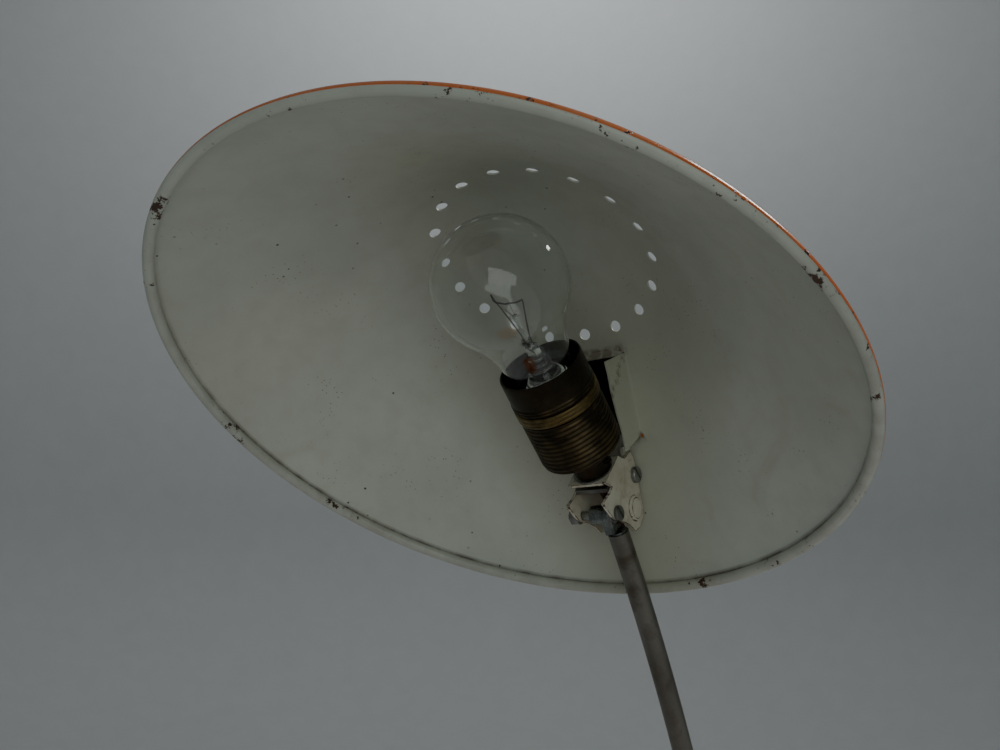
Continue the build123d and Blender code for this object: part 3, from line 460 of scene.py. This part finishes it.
def carved(mesh, cutters):
    """The mesh less the cutters, by an exact boolean."""
    body = bpy.data.objects.new("carving", mesh)
    tool = bpy.data.objects.new("cutters", joined("cutters", cutters))
    for obj in (body, tool):
        bpy.context.scene.collection.objects.link(obj)
    cut = body.modifiers.new("cut", "BOOLEAN")
    cut.operation = "DIFFERENCE"
    cut.solver = "EXACT"
    cut.use_self = True
    cut.object = tool
    graph = bpy.context.evaluated_depsgraph_get()
    result = bpy.data.meshes.new_from_object(body.evaluated_get(graph))
    for obj in (body, tool):
        bpy.data.objects.remove(obj)
    return result


def bevelled(mesh, width, segments=2, limit=30.0):
    """The mesh with its sharp edges rounded."""
    body = bpy.data.objects.new("bevelling", mesh)
    bpy.context.scene.collection.objects.link(body)
    rounding = body.modifiers.new("bevel", "BEVEL")
    rounding.width = width
    rounding.segments = segments
    rounding.limit_method = "ANGLE"
    rounding.angle_limit = radians(limit)
    rounding.harden_normals = False
    graph = bpy.context.evaluated_depsgraph_get()
    result = bpy.data.meshes.new_from_object(body.evaluated_get(graph))
    bpy.data.objects.remove(body)
    return result


def store(mesh, name, values):
    """A per-vertex value that a material reads."""
    layer = mesh.attributes.new(name, "FLOAT", "POINT")
    layer.data.foreach_set("value", values)


def copied(node):
    """A copy of a CAD node's mesh, for a piece that replaces it."""
    mesh = nodes[node].data.copy()
    mesh.materials.clear()
    work = bmesh.new()
    work.from_mesh(mesh)
    bmesh.ops.remove_doubles(work, verts=work.verts, dist=1e-6)
    work.to_mesh(mesh)
    work.free()
    return mesh


def refined(mesh, longest):
    """The mesh with its long edges split, so that values stored on vertices can change within a face."""
    work = bmesh.new()
    work.from_mesh(mesh)
    bmesh.ops.triangulate(work, faces=work.faces)
    for _ in range(7):
        long_edges = [edge for edge in work.edges if edge.calc_length() > longest]
        if not long_edges:
            break
        bmesh.ops.subdivide_edges(work, edges=long_edges, cuts=1)
        bmesh.ops.triangulate(work, faces=work.faces)
    work.to_mesh(mesh)
    work.free()
    return mesh


def edge_values(mesh, reach):
    """For each vertex, 1 at a sharp edge falling to 0 at a distance."""
    work = bmesh.new()
    work.from_mesh(mesh)
    points = []
    for edge in work.edges:
        if len(edge.link_faces) == 2 and edge.calc_face_angle(0.0) > radians(20):
            start, end = edge.verts[0].co.copy(), edge.verts[1].co.copy()
            pieces = max(1, int((end - start).length / (reach * 0.7)))
            points += [start.lerp(end, k / pieces) for k in range(pieces + 1)]
    work.free()
    tree = KDTree(max(1, len(points)))
    for index, point in enumerate(points):
        tree.insert(point, index)
    tree.balance()
    values = []
    for vertex in mesh.vertices:
        near = tree.find(vertex.co)[2] if points else reach
        values.append(max(0.0, 1.0 - (near or 0.0) / reach))
    return values


# ---------------------------------------------------------------- shade
def wall_depth(radius):
    """The depth of the bowl's inner face at a radius."""
    if radius > CROWN_EDGE:
        return (RIM_RADIUS - radius) * sin(WALL_ANGLE) / cos(WALL_ANGLE)
    return CROWN_CENTRE + sqrt(max(0.0, CROWN_RADIUS**2 - radius**2))


def wall_line(offset, crown_steps, wall_steps):
    """Points of the bowl's wall, an offset outside its inner face, from the axis down to the rim's bead."""
    points = []
    reach = CROWN_RADIUS + offset
    for k in range(crown_steps + 1):
        angle = WALL_ANGLE * k / crown_steps
        points.append((reach * sin(angle), CROWN_CENTRE + reach * cos(angle)))
    start = points[-1]
    foot = (RIM_RADIUS + offset * sin(WALL_ANGLE), offset * cos(WALL_ANGLE))
    along = (foot[0] - start[0], foot[1] - start[1])
    length = hypot(*along)
    step = 0.001
    share = 1.0
    while hypot(start[0] + share * along[0] - BEAD_RING_RADIUS, start[1] + share * along[1]) < BEAD_RADIUS:
        share -= step
    points += [(start[0] + share * along[0] * k / wall_steps, start[1] + share * along[1] * k / wall_steps)
               for k in range(1, wall_steps + 1)]
    return points


def bowl_outline():
    """The closed section of the bowl: inner face, round bead, outer face."""
    inner = wall_line(0.0, 14, 30)
    outer = wall_line(SHEET, 14, 30)
    first = atan2(inner[-1][1], inner[-1][0] - BEAD_RING_RADIUS)
    last = atan2(outer[-1][1], outer[-1][0] - BEAD_RING_RADIUS) + 2 * pi
    bead = []
    for k in range(1, 18):
        angle = first + (last - first) * k / 18
        bead.append((BEAD_RING_RADIUS + BEAD_RADIUS * cos(angle), BEAD_RADIUS * sin(angle)))
    return inner + bead + outer[::-1]


def behind(back, inwards):
    """A point on the bowl's rear side, a distance in from its inner face."""
    return (-back + inwards * sin(WALL_ANGLE), wall_depth(back) - inwards * cos(WALL_ANGLE))


def vent_cutters():
    """Cylinders for the ring of vents, square to the crown."""
    lean = atan2(VENT_RING_RADIUS, sqrt(CROWN_RADIUS**2 - VENT_RING_RADIUS**2))
    meshes = []
    for k in range(VENT_COUNT):
        mesh = lathed("vent", [(0, -3), (VENT_RADIUS, -3), (VENT_RADIUS, 3), (0, 3)], 28)
        mesh.transform(
            Matrix.Rotation(VENT_TURN + 2 * pi * k / VENT_COUNT, 4, "Z")
            @ Matrix.Translation((0, 0, CROWN_CENTRE))
            @ Matrix.Rotation(lean, 4, "Y")
            @ Matrix.Translation((0, 0, CROWN_RADIUS))
        )
        meshes.append(mesh)
    return meshes


def flap(side):
    """One folded-in side of the slot, with a small bend at the fold, a little uneven along its free edge."""
    steps, drops = 16, 12
    verts, faces = [], []
    for face_side in (0.0, SHEET):
        for i in range(steps + 1):
            share = i / steps
            root = -SLOT[0] + (SLOT[0] - SLOT[1] + 1.0) * share
            free = -SLOT[0] + FLAP_REAR_REACH + (SLOT[0] - SLOT[1] + 2.0 - FLAP_REAR_REACH) * share
            height = FLAP_HEIGHTS[0] + (FLAP_HEIGHTS[1] - FLAP_HEIGHTS[0]) * share
            height += 0.15 * sin(1.3 * i)
            for j in range(drops + 1):
                fall = j / drops
                inwards = -SHEET + (height + SHEET) * fall
                x, z = behind(root + (free - root) * fall, inwards)
                bend = 0.9 * max(0.0, 1.0 - inwards / 2.2) ** 2
                lean = 0.25 * fall**2 * sin(0.5 * i)
                verts.append((x, side * (SLOT_HALF_WIDTH - face_side + lean + bend), z))
    across = drops + 1
    layer = (steps + 1) * across
    for i in range(steps):
        for j in range(drops):
            a = i * across + j
            faces.append([a, a + across, a + across + 1, a + 1])
            faces.append([layer + a, layer + a + 1, layer + a + across + 1, layer + a + across])
    ring = [i * across for i in range(steps + 1)]
    ring += [steps * across + j for j in range(1, across)]
    ring += [i * across + drops for i in range(steps - 1, -1, -1)]
    ring += [j for j in range(drops - 1, 0, -1)]
    for a, b in zip(ring, ring[1:] + ring[:1]):
        faces.append([a, b, layer + b, layer + a])
    mesh = bpy.data.meshes.new("flap")
    mesh.from_pydata(verts, [], faces)
    work = bmesh.new()
    work.from_mesh(mesh)
    bmesh.ops.recalc_face_normals(work, faces=work.faces)
    work.to_mesh(mesh)
    work.free()
    return mesh


def lip():
    """The slot's front end, pressed in as a short sloping lip."""
    front = -SLOT[1] + 1.0
    outline = [
        behind(front - 1.4, -0.6), behind(front + 1.2, 0.9), behind(front + 0.8, 1.7),
        behind(front - 1.6, 0.3)
    ]
    return bevelled(prism("lip", outline, -LIP_HALF_WIDTH, LIP_HALF_WIDTH), 0.2)


def ear(side):
    """The tab inside a cheek that the bowl is screwed by."""
    middle = SHADE_SCREW_BACK
    outline = [
        behind(middle + 5, -0.4), behind(middle - 8, -0.4), behind(middle - 8, 8.0),
        behind(middle + 5, 8.0)
    ]
    near, far = sorted((side * 6.6, side * 8.2))
    return prism("ear", outline, near, far)


def shade():
    """The bowl with its vents and slot, enamel white inside and orange outside."""
    bowl = lathed("bowl", bowl_outline(), 288)
    slot_box = prism(
        "slot", [(SLOT[0], 30), (SLOT[1], 30), (SLOT[1], 100), (SLOT[0], 100)], -SLOT_HALF_WIDTH,
        SLOT_HALF_WIDTH
    )
    reliefs = []
    for side in (-1, 1):
        relief = lathed("relief", [(0, 30), (1.3, 30), (1.3, 80), (0, 80)], 16)
        relief.transform(Matrix.Translation((SLOT[0], side * SLOT_HALF_WIDTH, 0)))
        reliefs.append(relief)
    bowl = carved(bowl, [slot_box] + reliefs + vent_cutters())
    mesh = joined("shade", [bowl, flap(-1), flap(1), lip(), ear(-1), ear(1)])
    smooth(mesh, 38.0)
    bulb = HOLDER.inverted() @ HEAD
    in_row = HEAD.to_3x3().normalized()
    rim, warm, low, slot_edge = [], [], [], []
    for vertex in mesh.vertices:
        point = vertex.co
        radius = hypot(point.x, point.y)
        rim.append(hypot(radius - BEAD_RING_RADIUS, point.z))
        local = bulb @ point
        near = hypot(local.x, local.y) + 0.35 * abs(local.z - 60.0)
        warm.append(max(0.0, 1.0 - near / 88.0))
        height = (in_row @ point).z
        low.append(min(1.0, max(0.0, 0.5 - height / 130.0)))
        out_x = max(SLOT[0] - point.x, point.x - SLOT[1], 0.0)
        end = min(abs(point.x - SLOT[0]), abs(point.x - SLOT[1]))
        inside = abs(point.y) < SLOT_HALF_WIDTH + 1.5 and out_x < 3.0
        slot_edge.append(max(0.0, 1.0 - end / 1.6) if inside else 0.0)
    store(mesh, "rim", rim)
    store(mesh, "warm", warm)
    store(mesh, "low", low)
    store(mesh, "slot_edge", slot_edge)
    for polygon in mesh.polygons:
        centre = polygon.center
        radius = hypot(centre.x, centre.y)
        outwards = Vector((centre.x, centre.y, 0)).normalized() * sin(WALL_ANGLE) + Vector(
            (0, 0, cos(WALL_ANGLE))
        )
        beyond_wall = centre.z > wall_depth(radius) + 0.35 * SHEET and polygon.normal.dot(outwards) > 0.2
        on_bead = radius > BEAD_RING_RADIUS + 0.6 and centre.z > -0.8
        polygon.material_index = 1 if beyond_wall or on_bead else 0
    return piece("shade_bowl", mesh, HEAD, "head", [ENAMEL, ORANGE], ["shade"])


def slot_hood():
    """The cover outside the slot: orange outside, near-black inside, for dark bare metal and painted shade in
    the closed recess behind the slot.
    """
    mesh = smooth(copied("slot_hood"), 40.0)
    # The near-black inside stands for dark bare metal and for painted shade in the closed recess.
    inner = moulded("hood_inside_dark_and_shade", (0.010, 0.009, 0.008), (0.022, 0.018, 0.015), (0.6, 0.8), 300.0, 0.4)
    to_head = HEAD.inverted()
    turn = to_head.to_3x3().normalized()
    middle = Vector(((SLOT[0] + SLOT[1]) / 2, 0, wall_depth(-(SLOT[0] + SLOT[1]) / 2)))
    heart = middle + 4.0 * Vector((-sin(WALL_ANGLE), 0, cos(WALL_ANGLE)))
    for polygon in mesh.polygons:
        centre = to_head @ polygon.center
        towards = (heart - centre).normalized()
        polygon.material_index = 1 if (turn @ polygon.normal).dot(towards) > 0.25 else 0
    store(mesh, "rim", [50.0] * len(mesh.vertices))
    return piece(
        "hood_cover", mesh, Matrix.Identity(4), "head", [ORANGE, inner], ["slot_hood"]
    )


# ---------------------------------------------------------------- bracket and hinge
def remade(node, name, body, material, bevel=0.0, reach=0.8, crest=None, fineness=0.0):
    """A piece made from a CAD node's own mesh, with rounded edges and wear stored on it."""
    mesh = copied(node)
    if bevel:
        mesh = bevelled(mesh, bevel * MM)
    if fineness:
        refined(mesh, fineness * MM)
    smooth(mesh, 35.0)
    store(mesh, "edge", edge_values(mesh, reach * MM))
    if crest:
        store(mesh, "crest", crest(mesh))
    return piece(name, mesh, Matrix.Identity(4), body, material, [node])


def dressed(node, material):
    """A CAD node that keeps its shape and gets its own material."""
    obj = nodes[node]
    obj.data.materials.clear()
    obj.data.materials.append(material)


# ---------------------------------------------------------------- lampholder
def thread(name, start, turns, pitch, root, crest, end_crest, inner, steps=72, per_turn=8):
    """A sleeve with a real helical ridge outside; its radius tapers from crest to end_crest."""
    levels = int(turns * per_turn)
    rise = pitch / per_turn
    verts, faces = [], []
    for level in range(levels + 1):
        height = level * rise
        share = height / (turns * pitch)
        grow = (end_crest - crest) * share
        for k in range(steps):
            turn = 2 * pi * k / steps
            wave = 0.5 + 0.5 * cos(2 * pi * (height / pitch - k / steps))
            wave = wave**0.7
            fade = min(1.0, level / 5, (levels - level) / 5)
            radius = root + grow + (crest - root) * (wave * fade + 0.4 * (1 - fade))
            verts.append((radius * cos(turn), radius * sin(turn), start + height))
    for level in range(levels):
        for k in range(steps):
            n = (k + 1) % steps
            a, b = level * steps, (level + 1) * steps
            faces.append([a + k, a + n, b + n, b + k])
    base = len(verts)
    for height in (start, start + turns * pitch):
        for k in range(steps):
            turn = 2 * pi * k / steps
            verts.append((inner * cos(turn), inner * sin(turn), height))
    top = levels * steps
    for k in range(steps):
        n = (k + 1) % steps
        faces.append([base + k, base + n, n, k])
        faces.append([top + k, top + n, base + steps + n, base + steps + k])
        faces.append([base + n, base + k, base + steps + k, base + steps + n])
    mesh = bpy.data.meshes.new(name)
    mesh.from_pydata(verts, [], faces)
    work = bmesh.new()
    work.from_mesh(mesh)
    bmesh.ops.recalc_face_normals(work, faces=work.faces)
    work.to_mesh(mesh)
    work.free()
    smooth(mesh, 50.0)
    values = []
    for vertex in mesh.vertices:
        share = (vertex.co.z - start) / (turns * pitch)
        floor = root + (end_crest - crest) * share
        radius = hypot(vertex.co.x, vertex.co.y)
        values.append(max(0.0, min(1.0, (radius - floor) / (crest - root))))
    store(mesh, "crest", values)
    return mesh


def turned_piece(name, outline, body, material, stands_for, steps=96, limit=35.0, crest_from=None):
    """A lathed piece on the lampholder's axis; crest_from marks the radius beyond which it is rubbed."""
    mesh = smooth(lathed(name, outline, steps), limit)
    values = []
    for vertex in mesh.vertices:
        radius = hypot(vertex.co.x, vertex.co.y)
        values.append(max(0.0, min(1.0, (radius - crest_from) / 0.35)) if crest_from else 0.0)
    store(mesh, "crest", values)
    return piece(name, mesh, HOLDER, body, material, [stands_for])


def rounded(points, size=0.3):
    """An outline with each corner cut by a small facet, so its edges catch the light."""
    result = []
    count = len(points)
    for k, here in enumerate(points):
        before, after = points[k - 1], points[(k + 1) % count]
        if here[0] < 1e-6:
            result.append(here)
            continue
        for other in (before, after):
            gap = hypot(other[0] - here[0], other[1] - here[1])
            share = min(size / gap, 0.3) if gap > 1e-6 else 0.0
            result.append((here[0] + (other[0] - here[0]) * share, here[1] + (other[1] - here[1]) * share))
    return result


def lampholder():
    """The outside of the lampholder, from its washer to its mouth."""
    piece(
        "holder_thread_sleeve",
        thread("sleeve", 31.0, 11.1, 2.3, 18.85, 19.5, 19.5, 16.2),
        HOLDER,
        "head",
        AGED_BRASS,
        ["holder_shell"],
    )
    band = [(16.2, 57.0), (19.4, 57.0), (19.9, 57.6), (19.9, 58.5), (19.5, 58.8), (19.9, 59.1), (19.9, 60.4),
            (19.5, 60.7), (19.9, 61.0), (19.9, 62.0), (19.4, 62.5), (16.2, 62.5)]
    turned_piece("holder_band", rounded(band, 0.15), "head", BAND_BRASS, "holder_ring")
    skirt = [
        (15.3, 45.0), (16.1, 45.0), (16.1, 62.6), (19.2, 62.6), (19.3, 63.3), (19.8, 63.75),
        (19.8, 64.35), (19.3, 64.8), (19.8, 65.25), (19.8, 65.85), (19.3, 66.3), (19.4, 67.0),
        (19.4, 77.6), (19.2, 78.6), (18.4, 78.6), (18.1, 78.0), (18.1, 63.9), (15.3, 63.9)
    ]
    turned_piece(
        "holder_mouth_skirt", rounded(skirt, 0.2), "head", AGED_BRASS, "holder_skirt",
        120, crest_from=19.5
    )
    cap = [
        (5.0, 17.6), (8.2, 17.6), (8.4, 17.9), (8.6, 24.6), (9.0, 25.2), (11.0, 26.0), (13.2, 27.0),
        (15.6, 28.4), (17.5, 29.9), (18.4, 31.0), (16.2, 31.0), (16.2, 36.0), (15.2, 36.0),
        (15.2, 31.0), (10.5, 28.6), (5.0, 27.4)
    ]
    turned_piece(
        "holder_dome", rounded(cap, 0.15), "head", AGED_BRASS, "holder_cap", 96, 40.0,
        18.2
    )
    washer = [(5.0, 16.6), (9.3, 16.6), (9.6, 16.8), (9.6, 17.4), (9.3, 17.6), (5.0, 17.6)]
    turned_piece("holder_neck_washer", washer, "head", ZINC, "holder_washer")


# ---------------------------------------------------------------- bulb
BALL_CENTRE = 120.0
BALL_RADIUS = 30.0
NECK_RADIUS = 15.6
NECK_TOP = 77.0
FOOT_RADIUS = 13.2
GLASS_WALL = 0.8
FILAMENT_TURN = radians(-26.0)


def envelope_line(wall, ball_steps=40, neck_steps=14):
    """Half the bulb's section, from its top down to the neck's foot."""
    ball = BALL_RADIUS - wall
    neck = NECK_RADIUS - wall
    drop = BALL_CENTRE - NECK_TOP
    blend = (neck**2 + drop**2 - ball**2) / (2 * (ball - neck))
    touch = atan2(drop, neck + blend)
    points = []
    for k in range(ball_steps + 1):
        angle = pi / 2 - (pi / 2 + touch) * k / ball_steps
        points.append((ball * cos(angle), BALL_CENTRE + ball * sin(angle)))
    points[0] = (0.0, points[0][1])
    for k in range(1, neck_steps + 1):
        angle = touch * (1 - k / neck_steps)
        points.append((neck + blend - blend * cos(angle), NECK_TOP + blend * sin(angle)))
    foot = FOOT_RADIUS - wall
    points += [
        (neck - 0.1, 76.2), (neck - 0.5, 75.2), (neck - 1.1, 74.0), (foot + 0.5, 72.8), (foot, 71.8),
        (foot, 67.5)
    ]
    return points


def tube_along(name, points, radius, sides=10):
    """A round wire through points, as a mesh."""
    curve = bpy.data.curves.new(name, "CURVE")
    curve.dimensions = "3D"
    curve.bevel_depth = radius
    curve.bevel_resolution = max(1, sides // 4)
    curve.use_fill_caps = True
    line = curve.splines.new("POLY")
    line.points.add(len(points) - 1)
    for point, place in zip(line.points, points):
        point.co = (*place, 1.0)
    holder = bpy.data.objects.new(name, curve)
    mesh = bpy.data.meshes.new_from_object(holder)
    bpy.data.objects.remove(holder)
    for polygon in mesh.polygons:
        polygon.use_smooth = True
    return mesh


def filament_coil():
    """The coiled filament: a fine helix round a sagging line between the leads."""
    hung = ((0, -11.3, 113.6), (3.2, -5.6, 113.4), (4.2, 0, 113.6), (3.2, 5.6, 113.4), (0, 11.3, 113.6))
    anchors = [Vector(p) for p in hung]
    points = []
    turns_each = 26
    for a, b in zip(anchors, anchors[1:]):
        along = (b - a).normalized()
        side = along.cross(Vector((0, 0, 1))).normalized()
        up = side.cross(along)
        for k in range(turns_each * 8):
            share = k / (turns_each * 8)
            angle = 2 * pi * turns_each * share
            sag = -0.5 * sin(pi * share)
            centre = a.lerp(b, share) + up * sag
            points.append(centre + 0.32 * (side * cos(angle) + up * sin(angle)))
    return tube_along("filament", points, 0.07, 4)


def bulb():
    """The clear bulb with its glass foot, leads, hooks and filament."""
    outline = envelope_line(0.0) + envelope_line(GLASS_WALL)[::-1]
    turned_piece("bulb_envelope", outline, "bulb", GLASS, "bulb_glass", 128, 60.0)
    turn = Matrix.Rotation(FILAMENT_TURN, 4, "Z")
    flare = lathed(
        "flare",
        [
            (0, 68.2), (11.9, 68.2), (12.1, 68.6), (10.4, 70.2), (8.2, 73.0), (6.0, 76.0), (4.7, 79.5),
            (4.0, 83.5), (0, 84.0)
        ],
        64
    )
    pinch = prism(
        "pinch", [(-1.3, 83.0), (1.3, 83.0), (1.5, 87.0), (1.2, 91.0), (-1.2, 91.0), (-1.5, 87.0)],
        -4.4, 4.4
    )
    pinch = bevelled(pinch, 0.8, 3)
    post = lathed(
        "post",
        [
            (0, 88.0), (1.3, 88.0), (1.2, 98.0), (1.3, 101.4), (1.8, 102.4), (1.9, 103.2), (1.5, 104.4),
            (0.8, 104.8), (0, 104.9)
        ],
        32
    )
    foot = smooth(joined("foot", [flare, pinch, post]), 45.0)
    foot.transform(turn)
    piece("bulb_foot", foot, HOLDER, "bulb", GLASS, ["bulb_stem"])
    leads = []
    for side in (-1, 1):
        path = [(0, side * 3.0, 91.2), (0, side * 3.3, 94.0), (0, side * 6.6, 102.5), (0, side * 10.6, 111.5),
                (0, side * 11.2, 113.2), (0, side * 11.2, 113.9)]
        leads.append(tube_along("lead", path, 0.33, 12))
    wires = joined("leads", leads)
    wires.transform(turn)
    piece("bulb_lead_wires", wires, HOLDER, "bulb", WIRE, ["bulb_leads"])
    hooks = []
    for x, y in ((3.2, -5.6), (4.2, 0.0), (3.2, 5.6)):
        path = [
            (0.2 * x, 0.15 * y, 104.2), (0.6 * x, 0.6 * y, 108.4), (0.97 * x, 0.97 * y, 112.6),
            (x, y, 113.9), (1.05 * x, 1.05 * y, 114.1), (1.09 * x, 1.07 * y, 113.4)
        ]
        hooks.append(tube_along("hook", path, 0.11, 8))
    supports = joined("hooks", hooks)
    supports.transform(turn)
    piece("bulb_hooks", supports, HOLDER, "bulb", WIRE, ["filament_supports"])
    coil = filament_coil()
    coil.transform(turn)
    piece("bulb_coil", coil, HOLDER, "bulb", TUNGSTEN, ["bulb_filament"])
    dressed("bulb_cap", CAP_METAL)
    dressed("bulb_insulator", BLACK_GLASS)
    dressed("bulb_contact", SOLDER)


# ---------------------------------------------------------------- stand
def stem_tube():
    """The stem, from the CAD tube's own mesh with smooth shading."""
    remade("stem", "stem_tube", "stand", STEEL)


def lead_past_hinge():
    """The lead outside the stem, which bends between the stand and the head."""
    mesh = copied("head_lead")
    smooth(mesh, 60.0)
    obj = bpy.data.objects.new("hinge_lead", mesh)
    bpy.context.scene.collection.objects.link(obj)
    mesh.materials.append(SHEATH)
    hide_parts("head_lead")
    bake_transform(obj)


shade()
slot_hood()
remade("lamp_bracket", "bracket_body", "head", CREAM, 0.2, 0.9, fineness=1.0)
remade("bracket_tie", "tie_bar", "head", ZINC, 0.15)
for node, name in (("shade_screws", "bowl_screws"), ("hinge_screw", "pin_screw"), ("hinge_nut", "pin_nut")):
    remade(node, name, "head", ZINC, 0.15)
for node in ("shade_nuts", "hinge_washers"):
    dressed(node, ZINC)
lampholder()
remade(
    "holder_lock_screw", "neck_screw", "head", AGED_BRASS, 0.1,
    crest=lambda m: [0.0] * len(m.vertices)
)
dressed("holder_nipple", BRASS)
remade(
    "holder_locknut", "web_nut", "head", AGED_BRASS, 0.2,
    crest=lambda m: [0.3] * len(m.vertices)
)
dressed("holder_insert", GLAZE)
for node in ("holder_terminals", "socket_shell", "centre_contact", "terminal_screws"):
    dressed(node, BRASS)
bulb()
stem_tube()
remade("stem_eye", "eye_fitting", "stand", DARK_ZINC, 0.3)
lead_past_hinge()
dressed("stem_lead", SHEATH)
remade("stem_collar", "collar", "stand", STEEL, 0.3)
for node in ("stem_washer", "stem_locknut", "base_plate_screws", "cord_anchor_screws"):
    dressed(node, ZINC)
base = copied("base_body")
smooth(base, 25.0)
store(base, "rim", [50.0] * len(base.vertices))
piece("base_casting", base, Matrix.Identity(4), "stand", ORANGE, ["base_body"])
dressed("base_plate", PLATE_STEEL)
dressed("felt_pad", FELT)
remade("cord_grommet", "inlet_grommet", "stand", RUBBER)
for node in ("cord_anchor", "terminal_block"):
    dressed(node, NYLON)
dressed("base_wires", RUBBER)
dressed("switch_body", BAKELITE)
remade("switch_bezel", "switch_ring", "stand", ZINC)
remade("switch_button", "switch_knob", "button", BAKELITE)
spring = remade("switch_spring", "press_spring", "stand", ZINC)
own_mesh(spring)


# ---------------------------------------------------------------- stage, camera and light
def stage():
    """A plain pale floor that curves up into a wall all round."""
    s = Shader("studio_paint")
    grain = s.noise(14.0, detail=5.0)
    s.set(
        Base_Color=s.mix(grain, (0.50, 0.52, 0.53), (0.56, 0.575, 0.58)),
        Roughness=s.span(grain, 0.0, 1.0, 0.8, 0.95)
    )
    floor, cove, wall = 3000.0, 900.0, 4600.0
    outline = [(0.0, 0.0), (floor * 0.5, 0.0), (floor, 0.0)]
    for k in range(1, 13):
        angle = pi / 2 * k / 12
        outline.append((floor + cove * sin(angle), cove * (1 - cos(angle))))
    outline.append((floor + cove, wall))
    outline += [(floor + cove + 40, wall), (floor + cove + 40, -40.0), (0.0, -40.0)]
    mesh = smooth(lathed("stage", outline, 96), 40.0)
    mesh.transform(Matrix.Scale(MM, 4))
    obj = bpy.data.objects.new("stage", mesh)
    bpy.context.scene.collection.objects.link(obj)
    mesh.materials.append(s.material)


def aimed(obj, place, target):
    obj.location = place
    obj.rotation_euler = (Vector(target) - Vector(place)).to_track_quat("-Z", "Y").to_euler()


def softbox(name, place, size, power, colour=(1, 1, 1), target=None):
    """A square area light that points at the head."""
    data = bpy.data.lights.new(name, "AREA")
    data.shape = "SQUARE"
    data.size = size
    data.energy = power
    data.color = colour
    obj = bpy.data.objects.new(name, data)
    bpy.context.scene.collection.objects.link(obj)
    aimed(obj, place, target or RIM_CENTRE)


def camera():
    """The camera that looks up into the bowl."""
    forward = Vector((-0.798, -0.545, 0.258)).normalized()
    right = Vector((-0.561, 0.828, 0.013))
    right = (right - forward * right.dot(forward)).normalized()
    up = right.cross(forward)
    data = bpy.data.cameras.new("camera")
    data.sensor_width = 36.0
    data.lens = 37.58
    data.clip_start = 0.01
    obj = bpy.data.objects.new("camera", data)
    bpy.context.scene.collection.objects.link(obj)
    turn = Matrix((right, up, -forward)).transposed().to_4x4()
    place = RIM_CENTRE + Vector((337.1, 234.0, -99.5)) * MM
    obj.matrix_world = Matrix.Translation(place) @ turn
    bpy.context.scene.camera = obj


def light():
    world = bpy.data.worlds.new("studio_air")
    world.use_nodes = True
    world.node_tree.nodes["Background"].inputs["Color"].default_value = (0.93, 0.96, 0.94, 1.0)
    world.node_tree.nodes["Background"].inputs["Strength"].default_value = 0.2
    bpy.context.scene.world = world
    softbox("window", (-0.9, 0.9, 1.9), 0.6, 16.5, (1.0, 0.985, 0.93))
    softbox("fill", (1.3, 0.9, 0.25), 1.2, 4.6, (0.96, 1.0, 0.95))
    softbox("wall_wash", (-1.9, -1.3, 3.9), 1.0, 28.0, (0.96, 0.99, 1.0), (-3.5, -2.4, 2.7))


stage()
camera()
light()
